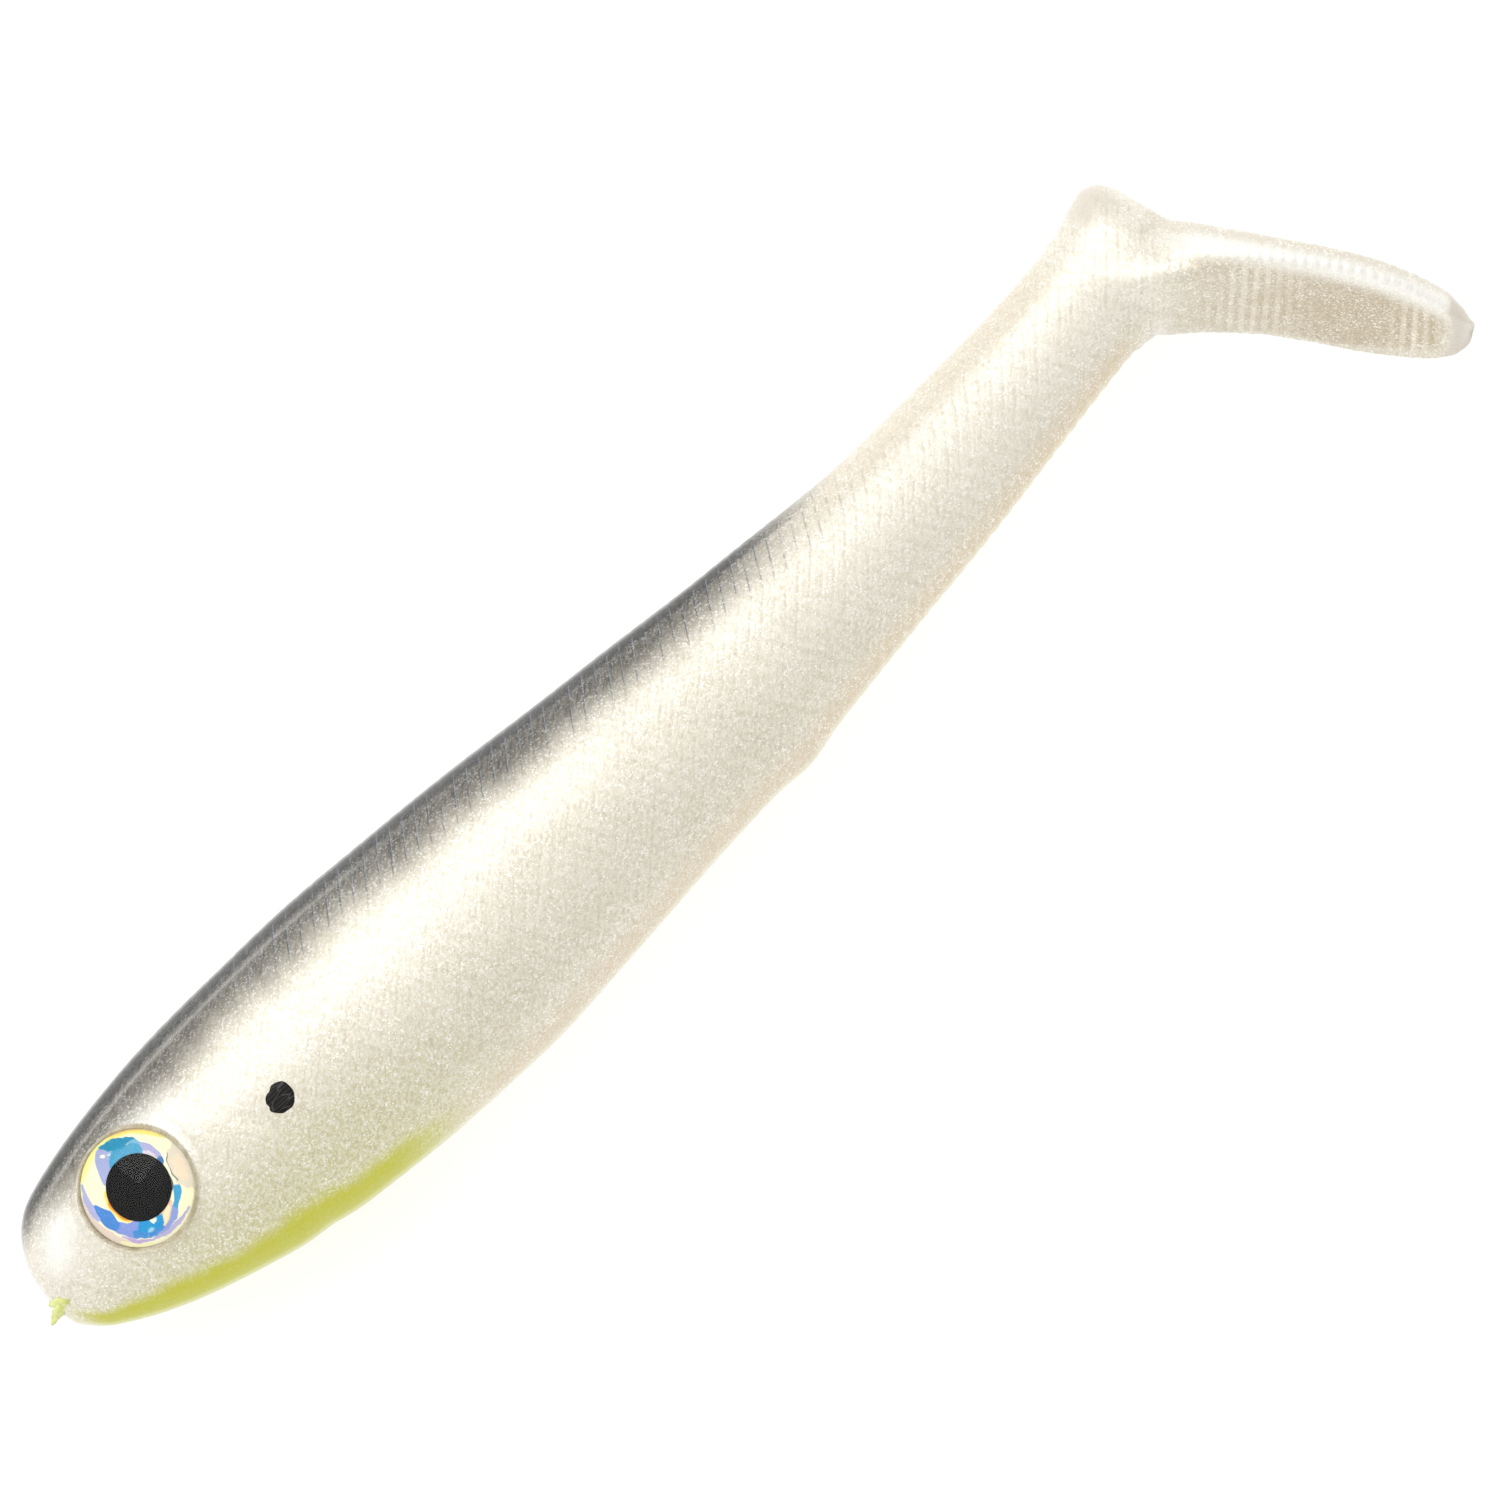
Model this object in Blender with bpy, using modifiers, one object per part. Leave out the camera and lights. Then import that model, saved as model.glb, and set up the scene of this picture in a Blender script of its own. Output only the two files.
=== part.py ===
"""Paddle-tail swimbait, a soft plastic fishing lure, lying on its right side.

Frame: +X from the nose to the tail, +Y towards the back (dorsal side),
+Z up out of the left side. The origin is under the middle of the object, and
the right flank and the lower rim of the tail paddle touch Z = 0.

The lure is four flexing lengths (front body, rear body, tail stem, paddle).
Each is a pearl core inside a clear skin, and the lengths meet at hinges whose
axes run from belly to back. Between skin and core lie the smoke back stripe
and the chartreuse throat layer. Each eye is a pad of glue, a foil disc, a
printed pupil and a clear dome in a flat socket.
"""

import math

import bmesh
import bpy
import numpy as np
from mathutils import Matrix, Vector

MM = 0.001

# ---- driving dimensions, in millimetres -----------------------------------
# Stations along the body: distance from the nose, height of the back, height
# of the belly, half of the width from flank to flank.
NOSE_X = 0.95
STATIONS = (
    (0.95, 2.1, -1.7, 1.75),
    (1.64, 4.3, -2.8, 3.05),
    (2.3, 5.55, -3.5, 3.75),
    (3.3, 6.75, -4.35, 4.55),
    (4.6, 7.7, -5.1, 5.25),
    (7.4, 8.75, -6.45, 6.35),
    (11.5, 9.75, -7.95, 7.45),
    (15.6, 10.4, -9.1, 8.25),
    (19.7, 10.9, -10.0, 8.85),
    (27.9, 11.5, -11.05, 9.55),
    (36.2, 11.75, -11.5, 9.8),
    (44.4, 11.5, -11.45, 9.7),
    (56.7, 10.8, -10.2, 9.05),
    (69.0, 9.9, -8.85, 8.05),
    (81.4, 8.95, -7.45, 6.85),
    (93.7, 8.35, -5.5, 5.65),
    (101.9, 8.6, -4.2, 4.95),
    (110.1, 9.0, -2.7, 4.35),
    (118.4, 9.9, -1.2, 4.1),
    (122.5, 10.95, -0.6, 4.1),
)
SECTION_POWER = 2.15  # 2 is an ellipse; a little more fills the corners
FLANK_HEIGHT = 9.8  # height of the mid plane above the surface it lies on
DROOP_FROM = 62.0  # the tail sags from here
DROOP_AT_WRIST = 2.3  # and by this much at the end of the stem
BEND_END = 121.0

VENT_X, VENT_LENGTH, VENT_HEIGHT = 77.0, 2.6, 0.45  # small vent bump
THROAT_NOTCH_X, THROAT_NOTCH_LENGTH, THROAT_NOTCH = 22.4, 1.3, 0.25

SKIN = 0.55  # clear skin
GAP = 0.2  # between nested layers
LAYER = 0.6  # colour layers under the skin

# Hinges: place along the body, largest swing, tongue radius.
REAR_HINGE, REAR_SWING, REAR_TONGUE = 70.0, 12.0, 5.9
STEM_HINGE, STEM_SWING, STEM_TONGUE = 98.0, 20.0, 3.8
KICK_HINGE, KICK_SWING, KICK_TONGUE = 119.0, 40.0, 3.0
SOCKET_GAP = 0.3
SHOULDER_GAP = 0.4
TONGUE_INSET = 1.6  # the tongue is lower than the core, so it swings inside the skin

BACK_FROM, BACK_TO = 5.0, 90.0
THROAT_FROM, THROAT_TO = 5.0, 36.0

EYE_AT = (12.6, 2.7)
EYE_RADIUS = 4.8
PUPIL_RADIUS = 2.8
SOCKET_DEPTH = 1.7

# Paddle: centre line from the top of the blade to its tip.
PADDLE_START = (120.4, 8.0)
PADDLE_SLOPE = 53.2  # degrees below the body's axis
PADDLE_LENGTH = 33.8
PADDLE_HEIGHT = 7.5  # of the blade's centre above the surface
PADDLE_LEAN = 29.0  # the blade leans back on its lower rim
PADDLE_BOW = 1.05  # the blade's middle bows towards the tail
PADDLE_SET_BACK = 0.25
PADDLE_TIP_CLEAR = 2.6  # clear plastic only at the tip
# along the blade, full width, full thickness
PADDLE_STATIONS = (
    (1.0, 6.8, 6.8),
    (4.0, 8.2, 7.8),
    (8.0, 10.6, 7.6),
    (12.0, 12.9, 5.8),
    (16.0, 14.5, 4.3),
    (20.0, 15.1, 3.6),
    (24.0, 14.4, 3.2),
    (27.5, 12.4, 2.9),
    (30.5, 9.4, 2.7),
    (32.6, 6.3, 2.3),
    (33.8, 3.6, 1.6),
)
PADDLE_DISH = 0.8  # how hollow the front of the blade is
RIM_FULLNESS = 0.68  # 1 is an ellipse; less keeps the blade thick to its rim
# Heel: where the stem ends in the back of the blade.
HEEL_STATIONS = (
    (119.0, 10.0, -1.1, 4.1),
    (121.0, 10.45, -1.9, 4.1),
    (123.2, 11.25, -2.8, 4.05),
    (124.9, 11.75, -2.4, 3.85),
    (126.2, 11.35, 0.6, 3.4),
    (127.1, 10.2, 3.6, 2.7),
    (127.8, 8.7, 6.0, 1.6),
)

OVERALL_X = 141.9
CENTRE_Y = -4.01
AROUND = 36


# ---- profile functions ----------------------------------------------------
def smooth_curve(xs, ys):
    """A monotone cubic through the stations, as a function of an array."""
    xs, ys = np.asarray(xs, float), np.asarray(ys, float)
    step = np.diff(xs)
    slope = np.diff(ys) / step
    tangent = np.zeros_like(ys)
    for i in range(1, len(xs) - 1):
        if slope[i - 1] * slope[i] > 0:
            a = 2 * step[i] + step[i - 1]
            b = step[i] + 2 * step[i - 1]
            tangent[i] = (a + b) / (a / slope[i - 1] + b / slope[i])
    tangent[0], tangent[-1] = slope[0], slope[-1]

    def value(x):
        x = np.clip(np.asarray(x, float), xs[0], xs[-1])
        i = np.clip(np.searchsorted(xs, x, "right") - 1, 0, len(xs) - 2)
        t = (x - xs[i]) / step[i]
        return (
            ys[i] * (1 + 2 * t) * (1 - t) ** 2
            + ys[i + 1] * t * t * (3 - 2 * t)
            + step[i] * (tangent[i] * t * (1 - t) ** 2 - tangent[i + 1] * t * t * (1 - t))
        )

    return value


def along(x):
    """Stretches the nose, where the profile turns fast."""
    return np.sqrt(np.maximum(np.asarray(x, float) - NOSE_X + 0.05, 0.0))


_s = np.array(STATIONS)
_back = smooth_curve(along(_s[:, 0]), _s[:, 1])
_belly = smooth_curve(along(_s[:, 0]), _s[:, 2])
_flank = smooth_curve(along(_s[:, 0]), _s[:, 3])


def back(x):
    return _back(along(x))


def belly(x):
    x = np.asarray(x, float)
    vent = VENT_HEIGHT * np.exp(-(((x - VENT_X) / VENT_LENGTH) ** 2))
    notch = THROAT_NOTCH * np.exp(-(((x - THROAT_NOTCH_X) / THROAT_NOTCH_LENGTH) ** 2))
    return _belly(along(x)) - vent + notch


def flank(x):
    return _flank(along(x))


def mid_height(x):
    t = max(0.0, (x - DROOP_FROM) / (BEND_END - DROOP_FROM))
    return FLANK_HEIGHT - DROOP_AT_WRIST * t * t


def inset(profile, x, depth):
    """The profile moved inwards by depth, measured square to it."""
    if depth <= 0:
        return float(profile(x))
    reach = np.linspace(-depth, depth, 41)
    there = x + reach
    values = np.where(
        there >= NOSE_X - 1e-9, profile(np.maximum(there, NOSE_X)), 0.0
    )
    return float(np.min(values - np.sqrt(np.maximum(depth**2 - reach**2, 0.0))))


AXIS_Y = 0.35  # height of the line that back and belly are measured from


def section(x, depth=0.0, angle=None):
    """(y, z) of the body's outline at x, at one angle from the left flank."""
    up = inset(lambda v: back(v) - AXIS_Y, x, depth)
    down = inset(lambda v: AXIS_Y - belly(v), x, depth)
    half = inset(flank, x, depth)
    centre, tall = AXIS_Y + (up - down) / 2, (up + down) / 2
    c, s = math.cos(angle), math.sin(angle)
    k = 2.0 / SECTION_POWER
    y = centre + tall * math.copysign(abs(s) ** k, s)
    z = mid_height(x) + half * math.copysign(abs(c) ** k, c)
    return y, z


def world(x, y, z):
    return Vector(((x - OVERALL_X / 2) * MM, (y - CENTRE_Y) * MM, z * MM))


def ring(x, depth_at, angles):
    """One closed or open row of points round the body at x."""
    return [world(x, *section(x, depth_at(x, a), a)) for a in angles]


TURN = [2 * math.pi * i / AROUND for i in range(AROUND)]


# ---- scene and helpers ----------------------------------------------------
for old in list(bpy.data.objects):
    bpy.data.objects.remove(old, do_unlink=True)

parts = bpy.data.collections.new("swimbait")
cutters = bpy.data.collections.new("swimbait_cutters")
bpy.context.scene.collection.children.link(parts)
bpy.context.scene.collection.children.link(cutters)


def material(name, colour, roughness, metallic=0.0, alpha=1.0, clear=0.0):
    made = bpy.data.materials.new(name)
    made.use_nodes = True
    shader = made.node_tree.nodes["Principled BSDF"]
    shader.inputs["Base Color"].default_value = (*colour, 1.0)
    shader.inputs["Roughness"].default_value = roughness
    shader.inputs["Metallic"].default_value = metallic
    shader.inputs["Alpha"].default_value = alpha
    shader.inputs["Transmission Weight"].default_value = clear
    return made


PEARL = material("pearl_plastisol", (0.86, 0.82, 0.72), 0.38, 0.25)
PEARL_TAIL = material("pearl_tail_plastisol", (0.85, 0.80, 0.70), 0.4, 0.2)
CLEAR = material("clear_plastisol", (0.93, 0.92, 0.88), 0.12, 0.0, 0.35, 0.8)
SMOKE = material("smoke_plastisol", (0.12, 0.13, 0.15), 0.3)
CHARTREUSE = material("chartreuse_plastisol", (0.58, 0.68, 0.08), 0.35)
FOIL = material("holographic_foil", (0.45, 0.68, 0.85), 0.18, 0.9)
PUPIL = material("black_print", (0.01, 0.01, 0.012), 0.2)
DOME = material("clear_epoxy", (0.97, 0.97, 0.97), 0.03, 0.0, 0.35, 1.0)
GLUE = material("eye_glue", (0.78, 0.72, 0.58), 0.3, 0.0, 0.6, 0.4)


def joint_empty(name, x, parent):
    """An empty on a hinge's axis; its child pieces have their origin there."""
    made = bpy.data.objects.new(name, None)
    made.empty_display_size = 0.004
    parts.objects.link(made)
    centre = (float(back(x)) + float(belly(x))) / 2
    made["centre"] = world(x, centre, mid_height(x))
    here = Vector(made["centre"])
    if parent:
        made.parent = parent
        made.location = here - Vector(parent["centre"])
    else:
        made.location = here
    return made


def finish(obj, finish_material, holder, angle=35.0):
    """Material, smooth shading and parenting to the empty of its body."""
    obj.data.materials.clear()
    obj.data.materials.append(finish_material)
    obj.data.shade_smooth()
    obj.data.set_sharp_from_angle(angle=math.radians(angle))
    if holder is not None:
        centre = Vector(holder["centre"])
        obj.data.transform(Matrix.Translation(-centre))
        obj.parent = holder
    return obj


def new_object(name, mesh, collection):
    obj = bpy.data.objects.new(name, mesh)
    collection.objects.link(obj)
    return obj


def as_cutter(obj):
    obj.hide_render = True
    obj.display_type = "WIRE"
    return obj


def mesh_from(name, points, faces):
    bm = bmesh.new()
    verts = [bm.verts.new(p) for p in points]
    for face in faces:
        bm.faces.new([verts[i] for i in face])
    bmesh.ops.recalc_face_normals(bm, faces=bm.faces)
    mesh = bpy.data.meshes.new(name)
    bm.to_mesh(mesh)
    bm.free()
    return mesh


def loft(name, rings, collection):
    """A closed solid through rings of the same number of points."""
    count = len(rings[0])
    points = [p for r in rings for p in r]
    faces = []
    for i in range(len(rings) - 1):
        for j in range(count):
            k = (j + 1) % count
            faces.append((i * count + j, i * count + k, (i + 1) * count + k, (i + 1) * count + j))
    faces.append(tuple(range(count)))
    faces.append(tuple((len(rings) - 1) * count + j for j in range(count)))
    return new_object(name, mesh_from(name, points, faces), collection)


def sleeve(name, outer, inner, closed_front, collection):
    """A shell between two lofts, open at the tail end."""
    count = len(outer[0])
    points = [p for r in outer for p in r] + [p for r in inner for p in r]
    base = len(outer) * count
    faces = []
    for start, rows in ((0, len(outer)), (base, len(inner))):
        for i in range(rows - 1):
            for j in range(count):
                k = (j + 1) % count
                faces.append(
                    (start + i * count + j, start + i * count + k,
                     start + (i + 1) * count + k, start + (i + 1) * count + j)
                )
    last_outer, last_inner = (len(outer) - 1) * count, base + (len(inner) - 1) * count
    for j in range(count):
        k = (j + 1) % count
        faces.append((last_outer + j, last_outer + k, last_inner + k, last_inner + j))
        if not closed_front:
            faces.append((j, k, base + k, base + j))
    if closed_front:
        faces.append(tuple(range(count)))
        faces.append(tuple(base + j for j in range(count)))
    return new_object(name, mesh_from(name, points, faces), collection)


def cut(obj, cutter, operation="DIFFERENCE"):
    boolean = obj.modifiers.new(operation.lower(), "BOOLEAN")
    boolean.operation = operation
    boolean.object = cutter
    boolean.solver = "EXACT"
    return obj


def stations(first, last, step=4.0):
    """Even stations from first to last, closer together on the nose."""
    nose = [NOSE_X, 1.3, 1.8, 2.5, 3.4, 4.6, 6.2, 8.2]
    near = [x for x in nose if first - 1e-9 <= x <= last]
    begin = near[-1] if near else first
    count = max(1, round((last - begin) / step))
    rest = [begin + (last - begin) * i / count for i in range(0 if not near else 1, count + 1)]
    return near + rest


# ---- layers of the body ---------------------------------------------------
UNDER_SKIN = SKIN + GAP
UNDER_LAYER = SKIN + GAP + LAYER + GAP
BACK_ANGLES = (40, 140)
THROAT_ANGLES = (230, 310)


def recess(x, angle):
    """How deep the core lies: deeper under the coloured layers."""
    degrees = math.degrees(angle) % 360
    deep = 0.0
    for (low, high), (first, last) in (
        (BACK_ANGLES, (BACK_FROM, BACK_TO)),
        (THROAT_ANGLES, (THROAT_FROM, THROAT_TO)),
    ):
        side = min(degrees - (low - 20), (high + 20) - degrees) / 10.0
        ends = min(x - (first - 1.1), (last + 1.1) - x) / 0.7
        deep = max(deep, max(0.0, min(1.0, side, ends)))
    return UNDER_SKIN + (UNDER_LAYER - UNDER_SKIN) * deep


def shoulder(x, swing):
    """How far the parent's end stays back so that the child can swing."""
    return float(flank(x)) * math.sin(math.radians(swing)) + SHOULDER_GAP


FRONT_END = REAR_HINGE - shoulder(REAR_HINGE, REAR_SWING)
REAR_END = STEM_HINGE - shoulder(STEM_HINGE, STEM_SWING)
STEM_END = KICK_HINGE - shoulder(KICK_HINGE, KICK_SWING)


def hinge_cylinder(name, x, radius):
    """A cylinder along the belly-to-back axis of a hinge."""
    bm = bmesh.new()
    bmesh.ops.create_cone(
        bm, cap_ends=True, segments=40, radius1=radius * MM, radius2=radius * MM, depth=60 * MM
    )
    mesh = bpy.data.meshes.new(name)
    bm.to_mesh(mesh)
    bm.free()
    obj = as_cutter(new_object(name, mesh, cutters))
    obj.location = world(x, 0.0, mid_height(x))
    obj.rotation_euler = (math.radians(90), 0, 0)
    return obj


def box(name, low, high):
    bm = bmesh.new()
    bmesh.ops.create_cube(bm, size=1.0)
    a, b = world(*low), world(*high)
    bmesh.ops.scale(bm, vec=b - a, verts=bm.verts)
    bmesh.ops.translate(bm, vec=(a + b) / 2, verts=bm.verts)
    mesh = bpy.data.meshes.new(name)
    bm.to_mesh(mesh)
    bm.free()
    return as_cutter(new_object(name, mesh, cutters))


def tongue_cutter(name, x, radius):
    """What is cut from a child's front end: all but a half-round tongue."""
    block = box(name, (x - radius - 8.0, -40.0, -20.0), (x, 40.0, 40.0))
    return cut(block, hinge_cylinder(name + "_round", x, radius))


# ---- hinges ---------------------------------------------------------------
root = joint_empty("front_centre", 36.0, None)
rear_joint = joint_empty("rear_body_hinge", REAR_HINGE, root)
stem_joint = joint_empty("tail_stem_hinge", STEM_HINGE, rear_joint)
kick_joint = joint_empty("paddle_hinge", KICK_HINGE, stem_joint)


def core_length(name, first, last, hinge, tongue):
    """A length of core, with a tongue at its front unless it is the nose."""
    begin = first if hinge is None else hinge - tongue - 0.6
    places = set(stations(begin, last))
    for edge in (BACK_FROM, THROAT_FROM, BACK_TO, THROAT_TO):
        for offset in (-1.1, -0.4, 0.4, 1.1):
            if begin < edge + offset < last:
                places.add(edge + offset)

    def depth(x, angle):
        if hinge is None:
            return recess(x, angle)
        share = min(1.0, max(0.0, (hinge + 0.35 - x) / 0.6))
        return recess(x, angle) + TONGUE_INSET * share

    if hinge is not None:
        places = {x for x in places if abs(x - hinge) > 1.0} | {hinge - 0.25, hinge + 0.35}
    rows = [ring(x, depth, TURN) for x in sorted(places)]
    return loft(name, rows, parts)


def skin_length(name, first, last, closed_front):
    outer = [ring(x, lambda *_: 0.0, TURN) for x in stations(first, last)]
    start = first + SKIN + 0.02 if closed_front else first
    places = [start] + [x for x in stations(first, last) if x > start + 0.15]
    inner = [ring(x, lambda *_: SKIN, TURN) for x in places]
    return sleeve(name, outer, inner, closed_front, parts)


def layer_length(name, angles, first, last):
    """A coloured layer between skin and core, over a sector of the section."""
    low, high = angles
    count = int((high - low) / 10) + 1
    arc = [math.radians(low + 10 * i) for i in range(count)]
    rows = []
    for x in stations(first, last):
        outer = ring(x, lambda *_: SKIN + GAP, arc)
        inner = ring(x, lambda *_: SKIN + GAP + LAYER, arc)
        rows.append(outer + inner[::-1])
    return loft(name, rows, parts)


# Front body
front_core = core_length("front_core", NOSE_X + UNDER_SKIN + 0.02, FRONT_END, None, 0)
front_skin = skin_length("front_clear_skin", NOSE_X, FRONT_END, True)
front_back = layer_length("front_back_stripe", BACK_ANGLES, BACK_FROM, FRONT_END)
throat = layer_length("throat_patch", THROAT_ANGLES, THROAT_FROM, THROAT_TO)

# Rear body
rear_core = core_length("rear_core", REAR_HINGE, REAR_END, REAR_HINGE, REAR_TONGUE)
rear_skin = skin_length("rear_clear_skin", REAR_HINGE, REAR_END, False)
rear_back = layer_length("rear_back_stripe", BACK_ANGLES, REAR_HINGE + 0.2, BACK_TO)

# Tail stem
stem_core = core_length("stem_core", STEM_HINGE, STEM_END, STEM_HINGE, STEM_TONGUE)
stem_skin = skin_length("stem_clear_skin", STEM_HINGE, STEM_END, False)

cut(rear_core, tongue_cutter("rear_tongue_cutter", REAR_HINGE, REAR_TONGUE))
cut(front_core, hinge_cylinder("rear_socket_cutter", REAR_HINGE, REAR_TONGUE + SOCKET_GAP))
cut(stem_core, tongue_cutter("stem_tongue_cutter", STEM_HINGE, STEM_TONGUE))
cut(rear_core, hinge_cylinder("stem_socket_cutter", STEM_HINGE, STEM_TONGUE + SOCKET_GAP))
cut(stem_core, hinge_cylinder("kick_socket_cutter", KICK_HINGE, KICK_TONGUE + SOCKET_GAP))


# ---- paddle ---------------------------------------------------------------
_down = Vector((math.cos(math.radians(PADDLE_SLOPE)), -math.sin(math.radians(PADDLE_SLOPE)), 0))
_out = Vector((math.sin(math.radians(PADDLE_SLOPE)), math.cos(math.radians(PADDLE_SLOPE)), 0))
_lean = math.radians(PADDLE_LEAN)
_wide = Vector((0, 0, math.cos(_lean))) + _out * math.sin(_lean)
_thick = _out * math.cos(_lean) - Vector((0, 0, math.sin(_lean)))
_p = np.array(PADDLE_STATIONS)
_paddle_width = smooth_curve(_p[:, 0], _p[:, 1])
_paddle_thick = smooth_curve(_p[:, 0], _p[:, 2])


def blade(name, depth, last, collection, points=24):
    """The blade of the paddle, set in by depth, as a loft down its length."""
    rows = []
    count = 10
    first = PADDLE_STATIONS[0][0] + depth
    places = [first + (last - first) * math.sin(math.pi / 2 * i / count) ** 0.9 for i in range(count + 1)]
    for s in places:
        half = float(_paddle_width(s)) / 2 - depth
        thick = float(_paddle_thick(s)) / 2 - depth
        dish = PADDLE_DISH * min(1.0, max(0.0, (s - 6) / 10))
        centre = (
            Vector((PADDLE_START[0], PADDLE_START[1], PADDLE_HEIGHT))
            + _down * s
            + _out * (PADDLE_SET_BACK + PADDLE_BOW * math.sin(math.pi * (s - 4.0) / 30.0))
        )
        row = []
        for i in range(points):
            a = 2 * math.pi * i / points
            c, n = math.cos(a), math.sin(a)
            across = half * math.copysign(abs(c) ** RIM_FULLNESS, c)
            through = thick * math.copysign(abs(n) ** RIM_FULLNESS, n)
            through += dish * (0.5 - (across / max(half, 0.1)) ** 2)
            row.append(world(*(centre + _wide * across + _thick * through)))
        rows.append(row)
    return loft(name, rows, collection)


_h = np.array(HEEL_STATIONS)
_heel = [smooth_curve(_h[:, 0], _h[:, i]) for i in (1, 2, 3)]


def heel(name, depth, first, collection):
    """The end of the stem, from the hinge into the back of the blade."""
    rows = []
    last = HEEL_STATIONS[-1][0] - depth
    for i in range(10):
        x = first + (last - first) * i / 9
        top, low, half = (float(f(x)) for f in _heel)
        if x < HEEL_STATIONS[0][0]:
            top, low, half = float(back(x)), float(belly(x)), float(flank(x))
        centre, tall = (top + low) / 2, (top - low) / 2 - depth
        row = []
        for a in TURN:
            c, s = math.cos(a), math.sin(a)
            k = 2.0 / SECTION_POWER
            row.append(
                world(
                    x,
                    centre + tall * math.copysign(abs(s) ** k, s),
                    mid_height(min(x, BEND_END)) + (half - depth) * math.copysign(abs(c) ** k, c),
                )
            )
        rows.append(row)
    return loft(name, rows, collection)


TIP = PADDLE_STATIONS[-1][0]
paddle_core = blade("paddle_core", SKIN + GAP, TIP - PADDLE_TIP_CLEAR, parts)
cut(paddle_core, as_cutter(heel("paddle_core_heel", SKIN + GAP, KICK_HINGE - KICK_TONGUE - 0.6, cutters)), "UNION")
cut(paddle_core, tongue_cutter("kick_tongue_cutter", KICK_HINGE, KICK_TONGUE))

paddle_skin = blade("paddle_clear_skin", 0.0, TIP, parts)
cut(paddle_skin, as_cutter(heel("paddle_skin_heel", 0.0, KICK_HINGE, cutters)), "UNION")
hollow = as_cutter(blade("paddle_skin_hollow", SKIN, TIP - PADDLE_TIP_CLEAR + GAP, cutters))
cut(hollow, as_cutter(heel("paddle_skin_hollow_heel", SKIN, KICK_HINGE - 3.0, cutters)), "UNION")
cut(paddle_skin, hollow)


# ---- eyes -----------------------------------------------------------------
def flank_point(x, y):
    """The left flank's point and outward direction at (x, y)."""

    def height(px, py):
        top, low, half = float(back(px)), float(belly(px)), float(flank(px))
        centre, tall = (top + low) / 2, (top - low) / 2
        rest = 1 - abs((py - centre) / tall) ** SECTION_POWER
        return mid_height(px) + half * max(rest, 0.0) ** (1 / SECTION_POWER)

    step = 1.5
    gx = (height(x + step, y) - height(x - step, y)) / (2 * step)
    gy = (height(x, y + step) - height(x, y - step)) / (2 * step)
    return Vector((x, y, height(x, y))), Vector((-gx, -gy, 1.0)).normalized()


def eye_frame(side):
    """The eye's frame: its origin on the socket's floor, +Z outwards."""
    spot, out = flank_point(*EYE_AT)
    floor = spot - out * SOCKET_DEPTH
    if side == "right":
        floor.z = 2 * FLANK_HEIGHT - floor.z
        out.z = -out.z
    turn = out.to_track_quat("Z", "Y").to_matrix().to_4x4()
    return Matrix.Translation(world(*floor)) @ turn


def disc(name, radius, low, high, collection, segments=40, bevel=0.0):
    bm = bmesh.new()
    bmesh.ops.create_cone(
        bm, cap_ends=True, segments=segments, radius1=radius * MM, radius2=radius * MM,
        depth=(high - low) * MM,
    )
    bmesh.ops.translate(bm, vec=(0, 0, (high + low) / 2 * MM), verts=bm.verts)
    mesh = bpy.data.meshes.new(name)
    bm.to_mesh(mesh)
    bm.free()
    obj = new_object(name, mesh, collection)
    if bevel:
        edge = obj.modifiers.new("edge", "BEVEL")
        edge.width = bevel * MM
        edge.segments = 1
        edge.limit_method = "ANGLE"
    return obj


def dome(name, radius, low, edge, crown, collection, steps=32, rings=6):
    """A clear lens, turned from its half profile."""
    tall = crown - edge
    sphere = (radius**2 + tall**2) / (2 * tall)
    profile = []
    for i in range(rings):
        r = radius * i / (rings - 1)
        profile.append((r, crown - sphere + math.sqrt(sphere**2 - r**2)))
    profile += [(radius, low), (0.0, low)]
    mesh = bpy.data.meshes.new(name)
    mesh.from_pydata(
        [(r * MM, 0, z * MM) for r, z in profile], [(i, i + 1) for i in range(len(profile) - 1)], []
    )
    obj = new_object(name, mesh, collection)
    screw = obj.modifiers.new("turn", "SCREW")
    screw.axis = "Z"
    screw.steps = screw.render_steps = steps
    screw.use_merge_vertices = True
    screw.merge_threshold = 0.00001
    screw.use_smooth_shade = True
    return obj


def place(obj, frame, finish_material):
    obj.data.materials.append(finish_material)
    if obj.data.polygons:
        obj.data.shade_smooth()
        obj.data.set_sharp_from_angle(angle=math.radians(35))
    obj.parent = root
    obj.matrix_world = Matrix.Translation(root_centre) @ (Matrix.Translation(-root_centre) @ frame)
    obj.matrix_parent_inverse = Matrix.Identity(4)
    obj.matrix_basis = Matrix.Translation(-root_centre) @ frame
    return obj


root_centre = Vector(root["centre"])
for side in ("left", "right"):
    frame = eye_frame(side)
    socket = as_cutter(disc("eye_socket_" + side, EYE_RADIUS + 0.2, 0.0, 9.0, cutters, 36))
    socket.matrix_world = frame
    for piece in (front_core, front_skin, front_back):
        cut(piece, socket)
    place(disc("eye_glue_" + side, EYE_RADIUS - 0.3, 0.1, 0.3, parts, 24), frame, GLUE)
    place(disc("eye_foil_" + side, EYE_RADIUS, 0.4, 0.6, parts, 32), frame, FOIL)
    place(disc("eye_pupil_" + side, PUPIL_RADIUS, 0.7, 0.82, parts, 24), frame, PUPIL)
    place(dome("eye_dome_" + side, EYE_RADIUS, 0.92, 1.3, 2.6, parts), frame, DOME)


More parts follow.
